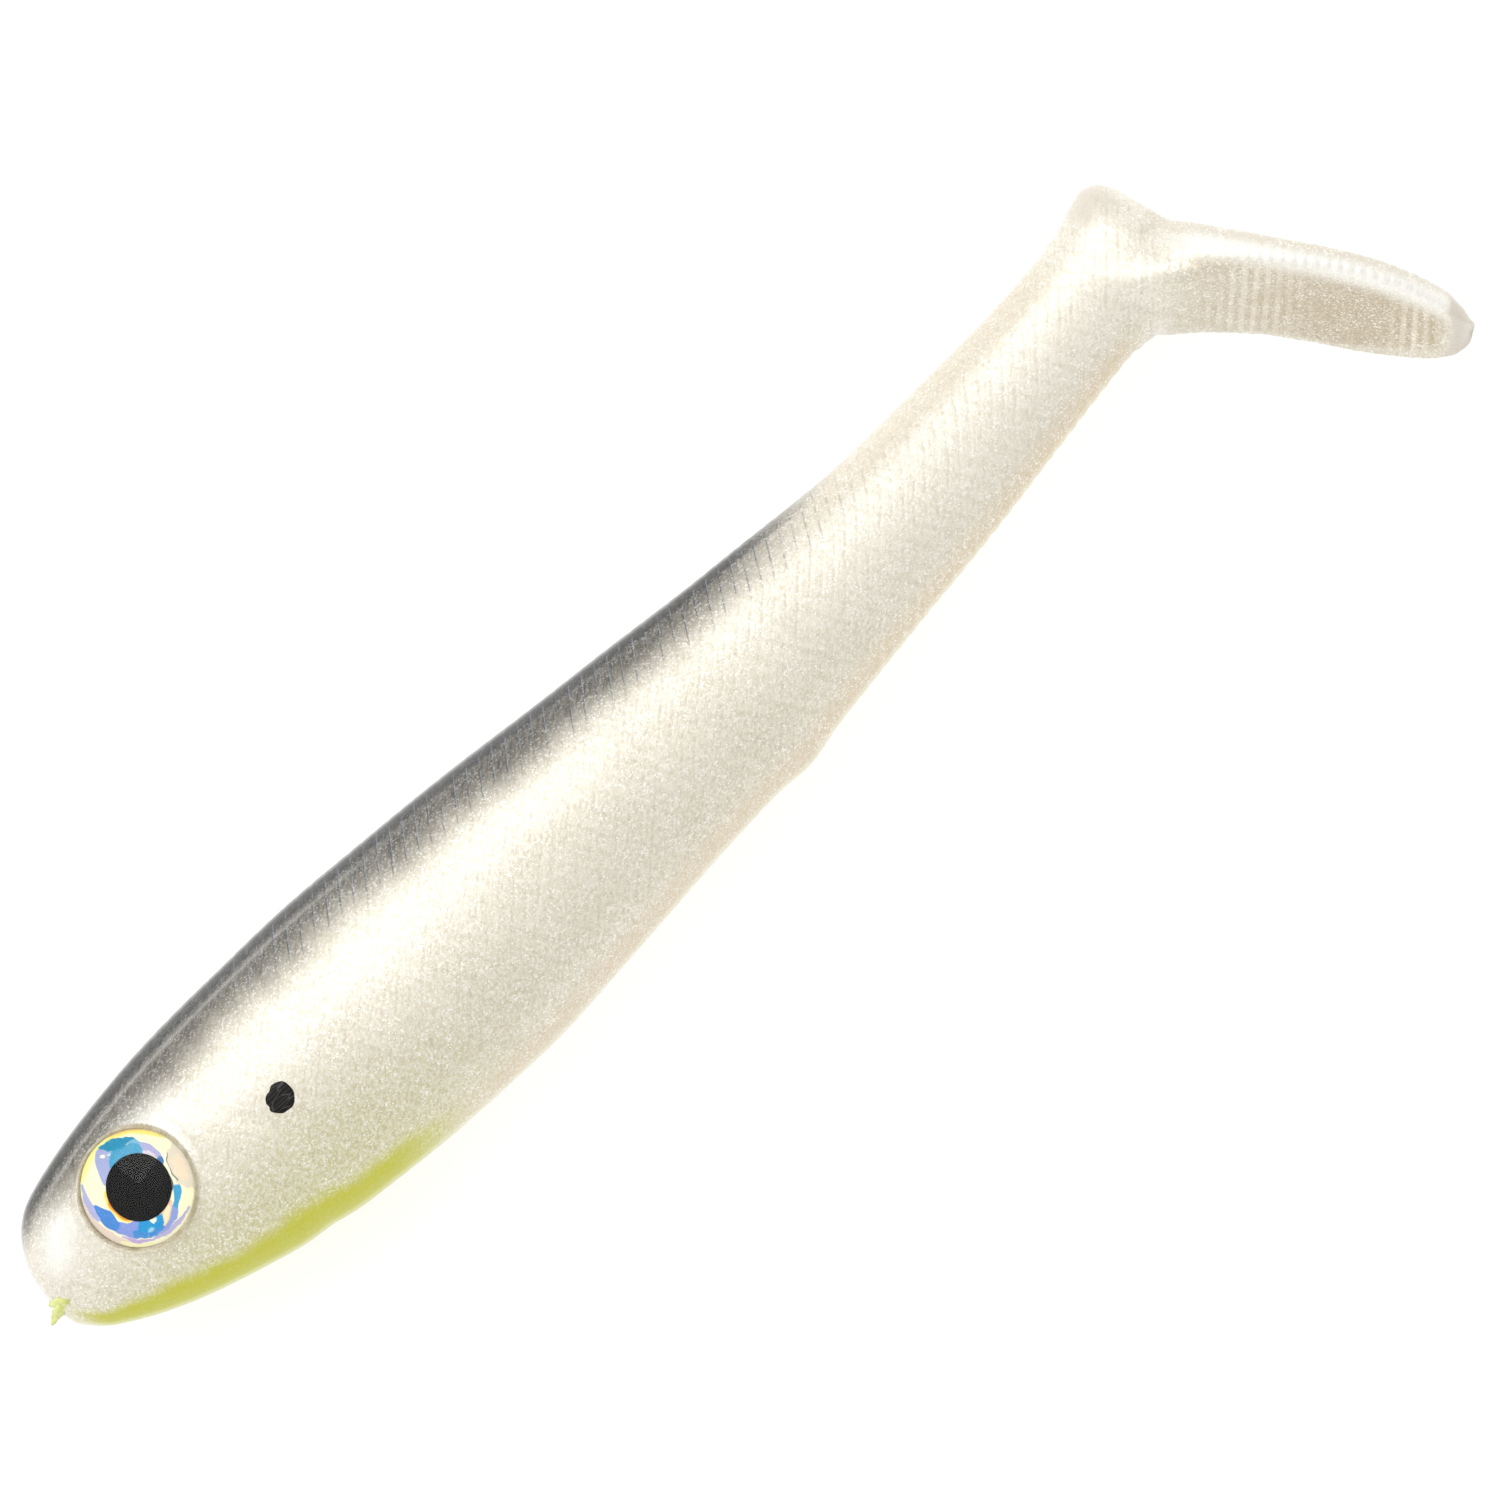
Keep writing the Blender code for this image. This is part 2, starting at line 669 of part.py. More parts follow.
# ---- gate nub on the lips -------------------------------------------------
def nub(name):
    """A torn stub of plastic left where the mould was filled."""
    rows = []
    for x, size, dy, dz in ((0.0, 0.16, -0.9, 0.25), (0.2, 0.34, -0.75, 0.1), (0.42, 0.62, -0.6, 0.0), (0.65, 0.8, -0.55, 0.0)):
        row = []
        for i in range(12):
            a = 2 * math.pi * i / 12
            r = size * (1 + 0.22 * math.sin(3 * a + 4 * x) + 0.12 * math.sin(5 * a + 1))
            row.append(world(x, dy + r * 0.8 * math.sin(a), FLANK_HEIGHT + dz + r * math.cos(a)))
        rows.append(row)
    return loft(name, rows, parts)


gate_nub = nub("mouth_gate_nub")


# ---- materials and bodies -------------------------------------------------
for piece, look, holder in (
    (front_core, PEARL, root),
    (front_skin, CLEAR, root),
    (front_back, SMOKE, root),
    (throat, CHARTREUSE, root),
    (gate_nub, CHARTREUSE, root),
    (rear_core, PEARL, rear_joint),
    (rear_skin, CLEAR, rear_joint),
    (rear_back, SMOKE, rear_joint),
    (stem_core, PEARL_TAIL, stem_joint),
    (stem_skin, CLEAR, stem_joint),
    (paddle_core, PEARL_TAIL, kick_joint),
    (paddle_skin, CLEAR, kick_joint),
):
    finish(piece, look, holder)
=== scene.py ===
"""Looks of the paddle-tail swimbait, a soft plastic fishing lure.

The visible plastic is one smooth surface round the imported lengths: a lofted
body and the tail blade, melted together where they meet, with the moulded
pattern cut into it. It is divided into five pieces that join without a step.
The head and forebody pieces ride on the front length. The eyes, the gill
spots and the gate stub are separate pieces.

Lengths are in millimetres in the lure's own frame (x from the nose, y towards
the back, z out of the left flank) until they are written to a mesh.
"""

import math

import bmesh
import bpy
import numpy as np
from mathutils import Matrix, Vector


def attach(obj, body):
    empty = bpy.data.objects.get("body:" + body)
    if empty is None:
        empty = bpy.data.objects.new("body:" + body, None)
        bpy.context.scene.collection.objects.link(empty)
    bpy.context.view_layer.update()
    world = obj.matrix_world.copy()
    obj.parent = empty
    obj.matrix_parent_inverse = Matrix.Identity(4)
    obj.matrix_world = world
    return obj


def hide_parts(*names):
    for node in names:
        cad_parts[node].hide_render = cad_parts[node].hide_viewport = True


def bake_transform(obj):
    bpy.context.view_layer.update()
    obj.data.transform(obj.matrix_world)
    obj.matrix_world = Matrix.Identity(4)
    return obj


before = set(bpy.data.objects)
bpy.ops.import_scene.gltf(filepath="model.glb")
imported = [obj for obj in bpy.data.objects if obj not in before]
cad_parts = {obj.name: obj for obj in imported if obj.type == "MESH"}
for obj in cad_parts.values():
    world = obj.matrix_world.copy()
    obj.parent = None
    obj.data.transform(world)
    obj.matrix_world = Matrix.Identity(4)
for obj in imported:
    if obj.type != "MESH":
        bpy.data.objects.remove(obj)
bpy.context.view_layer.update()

MM = 0.001
OVERALL_X, CENTRE_Y = 141.9, -4.01
VOXEL = 0.2

# ---- the lure's profile -----------------------------------------------------
NOSE_X = 0.95
STATIONS = np.array((
    (0.95, 2.1, -1.7, 1.75),
    (1.64, 4.3, -2.8, 3.05),
    (2.3, 5.55, -3.5, 3.75),
    (3.3, 6.75, -4.35, 4.55),
    (4.6, 7.7, -5.1, 5.25),
    (7.4, 8.75, -6.45, 6.35),
    (11.5, 9.75, -7.95, 7.45),
    (15.6, 10.4, -9.1, 8.25),
    (19.7, 10.9, -10.0, 8.85),
    (27.9, 11.5, -11.05, 9.55),
    (36.2, 11.75, -11.5, 9.8),
    (44.4, 11.5, -11.45, 9.7),
    (56.7, 10.8, -10.2, 9.05),
    (69.0, 9.9, -8.85, 8.05),
    (81.4, 8.95, -7.45, 6.85),
    (93.7, 8.35, -5.5, 5.65),
    (101.9, 8.6, -4.2, 4.95),
    (110.1, 9.0, -2.7, 4.35),
    (118.4, 9.9, -1.2, 4.1),
    (122.5, 10.95, -0.6, 4.1),
))
HEEL_STATIONS = np.array((
    (119.0, 10.0, -1.15, 4.1),
    (121.0, 10.5, -1.2, 4.1),
    (123.2, 11.3, -0.7, 4.05),
    (124.9, 11.75, 0.6, 3.85),
    (126.2, 11.35, 2.6, 3.4),
    (127.1, 10.2, 4.6, 2.7),
    (127.8, 8.7, 6.3, 1.6),
))
PADDLE_STATIONS = np.array((
    (1.0, 6.8, 6.8),
    (4.0, 8.2, 7.8),
    (8.0, 10.6, 7.6),
    (12.0, 12.9, 5.8),
    (16.0, 14.5, 4.3),
    (20.0, 15.1, 3.6),
    (24.0, 14.4, 3.2),
    (27.5, 12.4, 2.9),
    (30.5, 9.4, 2.7),
    (32.6, 6.3, 2.3),
    (33.8, 3.6, 1.6),
))
# How far the upper and lower rims of the blade are set in: (s, upper, lower).
RIM_SHIFT = np.array((
    (2.0, 0.2, 0.3),
    (6.0, 0.45, 0.6),
    (9.0, 0.45, 0.5),
    (13.0, 0.4, -0.1),
    (17.0, 0.35, -0.65),
    (21.0, 0.25, -0.75),
    (26.0, -0.05, -0.5),
    (30.0, -0.3, -0.35),
    (33.8, -0.35, -0.2),
))
SECTION_POWER = 2.15
FLANK_HEIGHT = 9.8
DROOP_FROM, DROOP_AT_WRIST, BEND_END = 62.0, 2.3, 121.0
VENT_X, VENT_LENGTH, VENT_HEIGHT = 77.0, 2.6, 0.45
THROAT_NOTCH_X, THROAT_NOTCH_LENGTH, THROAT_NOTCH = 22.4, 1.6, 0.17
PADDLE_START = np.array((120.4, 8.0, 7.5))
SLOPE, LEAN = math.radians(53.2), math.radians(29.0)
PADDLE_BOW, PADDLE_SET_BACK = 1.05, 0.25
PADDLE_DISH, RIM_POWER = 0.8, 2.0 / 0.68
PADDLE_END = 33.8
TIP_CLEAR = 2.6

EYE_AT = (12.6, 2.7)
EYE_RADIUS, PUPIL_RADIUS, SOCKET_DEPTH = 4.8, 2.8, 1.7
FOIL_TOP = 1.2  # above the socket's floor

DOWN = np.array((math.cos(SLOPE), -math.sin(SLOPE), 0.0))
OUT = np.array((math.sin(SLOPE), math.cos(SLOPE), 0.0))
WIDE = np.array((0.0, 0.0, math.cos(LEAN))) + OUT * math.sin(LEAN)
THICK = OUT * math.cos(LEAN) - np.array((0.0, 0.0, math.sin(LEAN)))

# Directions in the picture: the lure lies 42 degrees up from level.
TILT = math.radians(42.0)
RIGHT = np.array((math.cos(TILT), -math.sin(TILT), 0.0))
UP = np.array((math.sin(TILT), math.cos(TILT), 0.0))


def smooth_curve(xs, ys):
    """A monotone cubic through the stations, as a function of an array."""
    xs, ys = np.asarray(xs, float), np.asarray(ys, float)
    step = np.diff(xs)
    slope = np.diff(ys) / step
    tangent = np.zeros_like(ys)
    for i in range(1, len(xs) - 1):
        if slope[i - 1] * slope[i] > 0:
            a = 2 * step[i] + step[i - 1]
            b = step[i] + 2 * step[i - 1]
            tangent[i] = (a + b) / (a / slope[i - 1] + b / slope[i])
    tangent[0], tangent[-1] = slope[0], slope[-1]

    def value(x):
        x = np.clip(np.asarray(x, float), xs[0], xs[-1])
        i = np.clip(np.searchsorted(xs, x, "right") - 1, 0, len(xs) - 2)
        t = (x - xs[i]) / step[i]
        return (
            ys[i] * (1 + 2 * t) * (1 - t) ** 2
            + ys[i + 1] * t * t * (3 - 2 * t)
            + step[i] * (tangent[i] * t * (1 - t) ** 2 - tangent[i + 1] * t * t * (1 - t))
        )

    return value


def along(x):
    return np.sqrt(np.maximum(np.asarray(x, float) - NOSE_X + 0.05, 0.0))


_body = [smooth_curve(along(STATIONS[:, 0]), STATIONS[:, i]) for i in (1, 2, 3)]
_heel = [smooth_curve(HEEL_STATIONS[:, 0], HEEL_STATIONS[:, i]) for i in (1, 2, 3)]
_blade = [smooth_curve(PADDLE_STATIONS[:, 0], PADDLE_STATIONS[:, i]) for i in (1, 2)]


def smoothstep(low, high, v):
    t = np.clip((np.asarray(v, float) - low) / (high - low), 0.0, 1.0)
    return t * t * (3 - 2 * t)


def profile(i, x):
    """Back (0), belly (1) or half width (2) of the body, heel included."""
    x = np.asarray(x, float)
    share = smoothstep(118.6, 120.2, x)
    value = _body[i](along(x)) * (1 - share) + _heel[i](x) * share
    if i == 1:
        value = value - VENT_HEIGHT * np.exp(-(((x - VENT_X) / VENT_LENGTH) ** 2))
        value = value + THROAT_NOTCH * np.exp(
            -(((x - THROAT_NOTCH_X) / THROAT_NOTCH_LENGTH) ** 2)
        )
    return value


def middle(x):
    t = np.clip((np.asarray(x, float) - DROOP_FROM) / (BEND_END - DROOP_FROM), 0, 1)
    return FLANK_HEIGHT - DROOP_AT_WRIST * t * t


def smin(a, b, k):
    h = np.clip(0.5 + 0.5 * (b - a) / k, 0, 1)
    return b * (1 - h) + a * h - k * h * (1 - h)


def smax(a, b, k):
    return -smin(-a, -b, k)


def rounded(u, v, a, b, power):
    """Signed distance, near enough, to a rounded section of half sizes a, b."""
    au, av = np.abs(u) / a + 1e-9, np.abs(v) / b + 1e-9
    r = (au**power + av**power) ** (1 / power)
    slope = r ** (1 - power) * np.hypot(au ** (power - 1) / a, av ** (power - 1) / b)
    return (r - 1) / slope


def body_distance(p):
    x = p[:, 0]
    top, low, half = (profile(i, x) for i in range(3))
    d = rounded(
        p[:, 1] - (top + low) / 2, p[:, 2] - middle(x), (top - low) / 2, half, SECTION_POWER
    )
    d = smax(d, NOSE_X - x, 0.7)
    return smax(d, x - 127.8, 0.8)


def blade_frame(p):
    rel = p - PADDLE_START
    s = rel @ DOWN
    sc = np.clip(s, 1.0, PADDLE_END - 0.6)
    half, thick = _blade[0](sc) / 2, _blade[1](sc) / 2
    end = np.sqrt(1 - np.clip((s - 30.8) / 3.4, 0, 0.84) ** 2)
    half, thick = half * end**0.15, thick * end
    offset = PADDLE_SET_BACK + PADDLE_BOW * np.sin(np.pi * (sc - 4.0) / 30.0)
    o, z = rel @ OUT - offset, rel[:, 2]
    # the two rims run straighter than the blade's middle
    side = np.clip(z * math.cos(LEAN) + o * math.sin(LEAN), -half, half) / half
    o = o + np.interp(s, RIM_SHIFT[:, 0], RIM_SHIFT[:, 1]) * smoothstep(0.0, 0.9, side)
    o = o + np.interp(s, RIM_SHIFT[:, 0], RIM_SHIFT[:, 2]) * smoothstep(0.0, 0.9, -side)
    across = z * math.cos(LEAN) + o * math.sin(LEAN)
    through = o * math.cos(LEAN) - z * math.sin(LEAN)
    dish = PADDLE_DISH * np.clip((sc - 6) / 10, 0, 1)
    through = through - dish * (0.5 - np.minimum((across / half) ** 2, 1.3))
    return s, across, through, half, thick


def blade_distance(p):
    s, across, through, half, thick = blade_frame(p)
    d = rounded(across, through, half, thick, RIM_POWER)
    d = smax(d, s - PADDLE_END, 1.4)
    return smax(d, 1.0 - s, 1.0)


def distance(p):
    """Signed distance to the whole lure: the blade melts into the stem."""
    corner = np.exp(-(((p[:, 0] - 122.0) / 5.0) ** 2) - ((p[:, 1] + 1.6) / 4.5) ** 2)
    nape = np.exp(-(((p[:, 0] - 128.0) / 3.2) ** 2) - ((p[:, 1] - 6.6) / 3.2) ** 2)
    return smin(body_distance(p), blade_distance(p), 0.8 + 0.5 * corner + 2.0 * nape)


def gradient(p, e=0.02):
    g = np.empty_like(p)
    for i in range(3):
        a, b = p.copy(), p.copy()
        a[:, i] += e
        b[:, i] -= e
        g[:, i] = (distance(a) - distance(b)) / (2 * e)
    return g


def to_world(p):
    return (np.asarray(p, float) - np.array((OVERALL_X / 2, CENTRE_Y, 0.0))) * MM


# ---- a rough closed surface, then the exact one -------------------------------
def loft_mesh(name, rows):
    rows = np.asarray(rows, float)
    count, around = rows.shape[:2]
    faces = []
    for i in range(count - 1):
        for j in range(around):
            k = (j + 1) % around
            faces.append((i * around + j, i * around + k, (i + 1) * around + k, (i + 1) * around + j))
    faces.append(tuple(reversed(range(around))))
    faces.append(tuple((count - 1) * around + j for j in range(around)))
    mesh = bpy.data.meshes.new(name)
    mesh.from_pydata(rows.reshape(-1, 3).tolist(), [], faces)
    return mesh


def rough_surface():
    """Body and blade as two overlapping lofts, made one by a voxel remesh."""
    turn = np.linspace(0, 2 * np.pi, 72, endpoint=False)
    c, s = np.cos(turn), np.sin(turn)
    k = 2 / SECTION_POWER
    rows = []
    for x in np.concatenate([NOSE_X + np.array([0, 0.3, 0.7, 1.3, 2, 3, 4]), np.arange(6.0, 127.8, 0.8), [127.8]]):
        top, low, half = (float(profile(i, x)) for i in range(3))
        rows.append(np.stack([
            np.full(72, x),
            (top + low) / 2 + (top - low) / 2 * np.sign(s) * np.abs(s) ** k,
            float(middle(x)) + half * np.sign(c) * np.abs(c) ** k,
        ], 1))
    first = loft_mesh("rough_body", rows)
    rows = []
    k = 2 / RIM_POWER
    for d in np.linspace(1.0, PADDLE_END, 42):
        half, thick = float(_blade[0](d)) / 2, float(_blade[1](d)) / 2
        centre = PADDLE_START + DOWN * d + OUT * (
            PADDLE_SET_BACK + PADDLE_BOW * math.sin(math.pi * (d - 4.0) / 30.0)
        )
        across = half * np.sign(c) * np.abs(c) ** k
        through = thick * np.sign(s) * np.abs(s) ** k
        through = through + PADDLE_DISH * min(1, max(0, (d - 6) / 10)) * (0.5 - (across / half) ** 2)
        rows.append(centre + across[:, None] * WIDE + through[:, None] * THICK)
    second = loft_mesh("rough_blade", rows)
    bm = bmesh.new()
    bm.from_mesh(first)
    bm.from_mesh(second)
    bmesh.ops.recalc_face_normals(bm, faces=bm.faces)
    mesh = bpy.data.meshes.new("rough")
    bm.to_mesh(mesh)
    bm.free()
    obj = bpy.data.objects.new("rough", mesh)
    bpy.context.scene.collection.objects.link(obj)
    remesh = obj.modifiers.new("voxels", "REMESH")
    remesh.mode = "VOXEL"
    remesh.voxel_size = VOXEL
    remesh.adaptivity = 0.0
    graph = bpy.context.evaluated_depsgraph_get()
    made = obj.evaluated_get(graph).to_mesh()
    co = np.empty(len(made.vertices) * 3)
    made.vertices.foreach_get("co", co)
    loops = np.empty(len(made.loops), np.int64)
    made.loops.foreach_get("vertex_index", loops)
    starts = np.empty(len(made.polygons), np.int64)
    totals = np.empty(len(made.polygons), np.int64)
    made.polygons.foreach_get("loop_start", starts)
    made.polygons.foreach_get("loop_total", totals)
    obj.evaluated_get(graph).to_mesh_clear()
    bpy.data.objects.remove(obj, do_unlink=True)
    four = totals == 4
    quads = loops[starts[four][:, None] + np.arange(4)]
    return co.reshape(-1, 3), quads


def settle(co, rounds=6):
    """Moves the points onto the exact surface."""
    for _ in range(rounds):
        d, g = distance(co), gradient(co)
        size = np.maximum((g * g).sum(1), 0.05)
        step = g * (d / size)[:, None]
        length = np.linalg.norm(step, axis=1)
        co = co - step * np.minimum(1, 0.3 / np.maximum(length, 1e-9))[:, None]
    return co


def neighbours_mean(co, edges, count):
    total = np.zeros_like(co)
    for a, b in ((0, 1), (1, 0)):
        for i in range(3):
            total[:, i] += np.bincount(edges[:, a], co[edges[:, b], i], len(co))
    return total / count[:, None]


def vertex_normals(co, quads):
    a = co[quads[:, 2]] - co[quads[:, 0]]
    b = co[quads[:, 3]] - co[quads[:, 1]]
    n = np.cross(a, b)
    total = np.zeros_like(co)
    for k in range(4):
        for i in range(3):
            total[:, i] += np.bincount(quads[:, k], n[:, i], len(co))
    return total / np.maximum(np.linalg.norm(total, axis=1), 1e-12)[:, None]


surface, quads = rough_surface()
surface = settle(surface, 5)
_e = np.concatenate([quads[:, [0, 1]], quads[:, [1, 2]], quads[:, [2, 3]], quads[:, [3, 0]]])
_e = np.unique(np.sort(_e, axis=1), axis=0)
_count = np.bincount(_e.ravel(), minlength=len(surface)).astype(float)
for _ in range(3):  # evens out the spacing of the points, on the surface
    surface = settle(surface * 0.4 + neighbours_mean(surface, _e, _count) * 0.6, 1)
surface = settle(surface, 3)
if (vertex_normals(surface, quads) * gradient(surface)).sum() < 0:
    quads = quads[:, ::-1]


# ---- masks and pattern --------------------------------------------------------
def waves(*terms):
    """A smooth, repeatable wobble from a sum of sines; no random numbers."""
    total = 0.0
    for value, size, shift in terms:
        total = total + size * np.sin(value + shift)
    return total


def outline_distance(p, which, reach=14.0):
    """Distance in plan to the outline of the back (0) or belly (1)."""
    xs = NOSE_X + np.linspace(0, 1, 900) ** 1.6 * (127.0 - NOSE_X)
    line = np.stack([xs, profile(which, xs)], 1)
    found = np.full(len(p), reach)
    order = np.argsort(p[:, 0])
    for chunk in np.array_split(order, 160):
        if not len(chunk):
            continue
        low, high = p[chunk, 0].min() - reach, p[chunk, 0].max() + reach
        near = line[(line[:, 0] >= low) & (line[:, 0] <= high)]
        if not len(near):
            continue
        d = p[chunk, None, :2] - near[None]
        found[chunk] = np.minimum(found[chunk], np.sqrt((d * d).sum(2).min(1)))
    return found


def groove(phase, width, at=0.0):
    """1 in a narrow groove, once each period."""
    off = np.abs((phase - at + 0.5) % 1.0 - 0.5)
    return np.exp(-((off / width) ** 2))


_gx = np.linspace(-5, 160, 1651)
_angle = np.radians(np.interp(_gx, (0, 70, 90, 104, 112, 122, 160), (46, 46, 43, 39, 40, 42.5, 42.5)))
_pitch = np.interp(_gx, (0, 70, 90, 112, 122, 160), (0.997, 0.99, 0.955, 0.955, 0.94, 0.935))
_phi = np.concatenate([[0], np.cumsum((np.cos(_angle) / _pitch)[:-1] * np.diff(_gx))])
_kappa = np.sin(_angle) / _pitch


def pattern(p, back_d):
    """The main lines of the mould, as a phase that rises by 1 at each line."""
    x, y = p[:, 0], p[:, 1]
    phase = np.interp(x, _gx, _phi) - np.interp(x, _gx, _kappa) * (y - 0.35)
    straighter = np.clip(4.0 - back_d, 0, 4) * smoothstep(112, 100, x)
    return phase + 0.27 * straighter + 0.03 * waves((x * 0.9, 1, 0), (y * 0.8, 1, 1.3))


x, y, z = surface.T
back_d = outline_distance(surface, 0)
belly_d = outline_distance(surface, 1)
s, across, through, blade_half, blade_thick = blade_frame(surface)
on_blade = smoothstep(0.8, -0.8, blade_distance(surface) - body_distance(surface))
on_blade = on_blade * smoothstep(3.0, 6.0, s)
phase = pattern(surface, back_d)

clear_tip = smoothstep(-0.35, 0.35, s - (PADDLE_END - 1.8 - 0.4 * (across / 3.0) ** 2))
heel = smoothstep(3.0, 1.0, np.sqrt((x - 124.6) ** 2 + (y - 10.6) ** 2)) * (1 - on_blade)

uneven = 0.75 + 0.25 * waves((x * 0.31, 0.6, 0.4), (y * 0.53 + z * 0.4, 0.5, 2.0), (x * 0.83 - y, 0.3, 1.0))
second = (x * math.cos(math.radians(33)) + y * math.sin(math.radians(33))) / 1.56
near_back = smoothstep(5.2, 1.0, back_d) * (1 - on_blade)
near_belly = smoothstep(3.2, 0.3, belly_d) * (1 - on_blade)
tailward = smoothstep(60, 100, x) * (1 - on_blade)
head = smoothstep(26, 8, x)

depth = 0.008 + 0.026 * near_back * (1 - 0.5 * head) + 0.012 * tailward + 0.018 * near_belly * smoothstep(50, 80, x)
depth = depth * (1 - 0.55 * head) * uneven
lines = groove(phase, 0.2) + 0.3 * groove(phase, 0.14, 0.5)
cells = 0.5 + 0.5 * np.cos(2 * np.pi * second)
height = -depth * lines + 0.010 * (cells - 0.5) * (1 - 0.5 * head)

# the blade: a raised ridge below its near rim, with lumps, and a hollow face
plan = (surface - PADDLE_START) @ OUT
bins = np.arange(0.0, 35.0, 0.5)
near_rim = np.full(len(bins), np.nan)
for i, low in enumerate(bins):
    here = (s >= low) & (s < low + 0.5) & (on_blade > 0.6)
    if here.any():
        near_rim[i] = plan[here].max()
known = ~np.isnan(near_rim)
below_rim = np.interp(s, bins[known] + 0.25, near_rim[known]) - plan
above = smoothstep(-0.35, 0.25, gradient(surface)[:, 2])
ridge_at = np.interp(s, (2, 6, 14, 22, 28, 32), (1.9, 1.85, 1.6, 1.45, 1.3, 1.1))
ridge = above * smoothstep(6.0, 10.5, s) * smoothstep(PADDLE_END - 1.6, PADDLE_END - 3.4, s)
ridge = ridge * on_blade
crest = ridge * np.exp(-(((below_rim - ridge_at) / 0.75) ** 2))
hollow_face = ridge * smoothstep(0.6, 1.9, below_rim - ridge_at)
rim = smoothstep(0.62, 0.95, np.abs(across) / blade_half)
ribs = 0.5 + 0.5 * np.cos(2 * np.pi * phase)
ends = smoothstep(3.5, 7.0, s) * smoothstep(PADDLE_END - 2.0, PADDLE_END - 3.2, s)
height = height * (1 - 0.8 * on_blade) + on_blade * ends * (
    0.05 * rim * (ribs**0.7 - 0.45) + 0.03 * (1 - rim) * (ribs - 0.5)
)
height = height + 0.26 * crest * (1 + 0.34 * (ribs - 0.5)) - 0.34 * hollow_face
# the moulded layer ends at the clear tip
height = height * (1 - clear_tip) - 0.10 * clear_tip * on_blade
# scalloped belly edge of the rear body and the stem
height = height + 0.045 * near_belly * smoothstep(70, 92, x) * np.cos(2 * np.pi * phase)
# broad unevenness of a soft moulding
height = height + 0.035 * waves((x * 0.21 + y * 0.3, 1, 0.2), (x * 0.37 - y * 0.24 + z * 0.2, 0.7, 1.1))
height = height + 0.05 * np.exp(-(((x - 24.5) / 3.2) ** 2) - ((y + 1.2) / 2.6) ** 2) * np.sin((x + 0.6 * y) * 1.5)

normal = gradient(surface)
normal /= np.linalg.norm(normal, axis=1)[:, None]
shaped = surface + normal * height[:, None]


# ---- eye sockets ----------------------------------------------------------------
def flank_point(px, py):
    def level(qx, qy):
        top, low, half = (float(profile(i, qx)) for i in range(3))
        centre, tall = (top + low) / 2, (top - low) / 2
        rest = 1 - abs((qy - centre) / tall) ** SECTION_POWER
        return float(middle(qx)) + half * max(rest, 0.0) ** (1 / SECTION_POWER)

    step = 1.5
    gx = (level(px + step, py) - level(px - step, py)) / (2 * step)
    gy = (level(px, py + step) - level(px, py - step)) / (2 * step)
    n = np.array((-gx, -gy, 1.0))
    return np.array((px, py, level(px, py))), n / np.linalg.norm(n)


def eye_axes(side):
    """Origin on the socket's floor, then right, up and outward directions."""
    spot, n = flank_point(*EYE_AT)
    floor = spot - n * SOCKET_DEPTH
    r = RIGHT - n * (RIGHT @ n)
    r /= np.linalg.norm(r)
    u = np.cross(n, r)
    if side == "right":
        flip = np.array((1.0, 1.0, -1.0))
        floor = floor * flip + np.array((0, 0, 2 * FLANK_HEIGHT))
        r, u, n = r * flip, u * flip, n * flip
    return floor, r, u, n


for side in ("left", "right"):
    floor, er, eu, en = eye_axes(side)
    rel = shaped - floor
    a, b, h = rel @ er, rel @ eu, rel @ en
    radius = np.hypot(a, b)
    inside = (radius < 6.6) & (h > -1.5)
    wall = smoothstep(4.86, 5.12, radius)
    angle = np.arctan2(a, b)
    lip = 0.035 * np.exp(-(((radius - 5.4) / 0.3) ** 2)) * (0.8 + 0.25 * np.sin(3 * angle + 0.7))
    dip = -0.05 * np.exp(-(((radius - 5.95) / 0.35) ** 2))
    new = np.where(radius < 5.2, 0.02 + (h - 0.02) * wall, h) + lip + dip
    move = np.where(inside, new - h, 0.0)
    shaped = shaped + move[:, None] * en

normals = vertex_normals(shaped, quads)

# ---- colour masks -----------------------------------------------------------------
fade = smoothstep(95, 80, x + 1.2 * (back_d - 1.0))
wobble = 1 + 0.08 * waves((x * 0.5, 1, 0.3), (x * 1.7, 0.5, 1.0))
smoke_edge = smoothstep(1.12, 0.72, back_d) * (1 - on_blade)
smoke_line = np.exp(-(((back_d - 1.3) / 0.16) ** 2)) * smoothstep(52, 34, x) * smoothstep(4.0, 9.0, x)
smoke_reach = np.interp(x, (0, 10, 25, 45, 62, 80, 100), (5.8, 5.9, 5.5, 5.5, 6.4, 7.8, 7.8))
smoke_soft = smoothstep(1.0, 0.22, back_d * wobble / smoke_reach)
smoke_soft = smoke_soft * (1 - on_blade)
nose_fade = smoothstep(4.2, 8.4, y)
smoke_edge = smoke_edge * fade * nose_fade
smoke_soft = smoke_soft * fade * nose_fade
strokes = smoothstep(4.6, 2.8, back_d) * smoothstep(0.15, 0.7, back_d) * (1 - on_blade)
strokes = strokes * smoothstep(24, 36, x) * smoothstep(100, 84, x)
green_reach = np.interp(x, (0, 5, 12, 20, 30, 40), (1.2, 1.8, 2.6, 2.9, 2.7, 1.5))
green = smoothstep(1.15, 0.55, belly_d * wobble / green_reach) * smoothstep(0.8, 3.5, x) * smoothstep(38.5, 29.0, x)
green = green * smoothstep(0.5, -1.5, y)
yellowish = smoothstep(2.5, -8.5, y) * smoothstep(52, 22, x) * smoothstep(0, 6, x) * (1 - on_blade)
hem = smoothstep(0.3, 0.05, back_d) * (1 - on_blade) * fade
rim_clear = smoothstep(0.45, 0.1, belly_d) * (1 - on_blade) * smoothstep(120, 116, x)
# painted shade: warm along the belly edge, and along the top of the rear stem
tan_edge_shade = smoothstep(2.6, 0.1, belly_d) * (1 - on_blade) * smoothstep(30, 42, x) * smoothstep(123, 117, x)
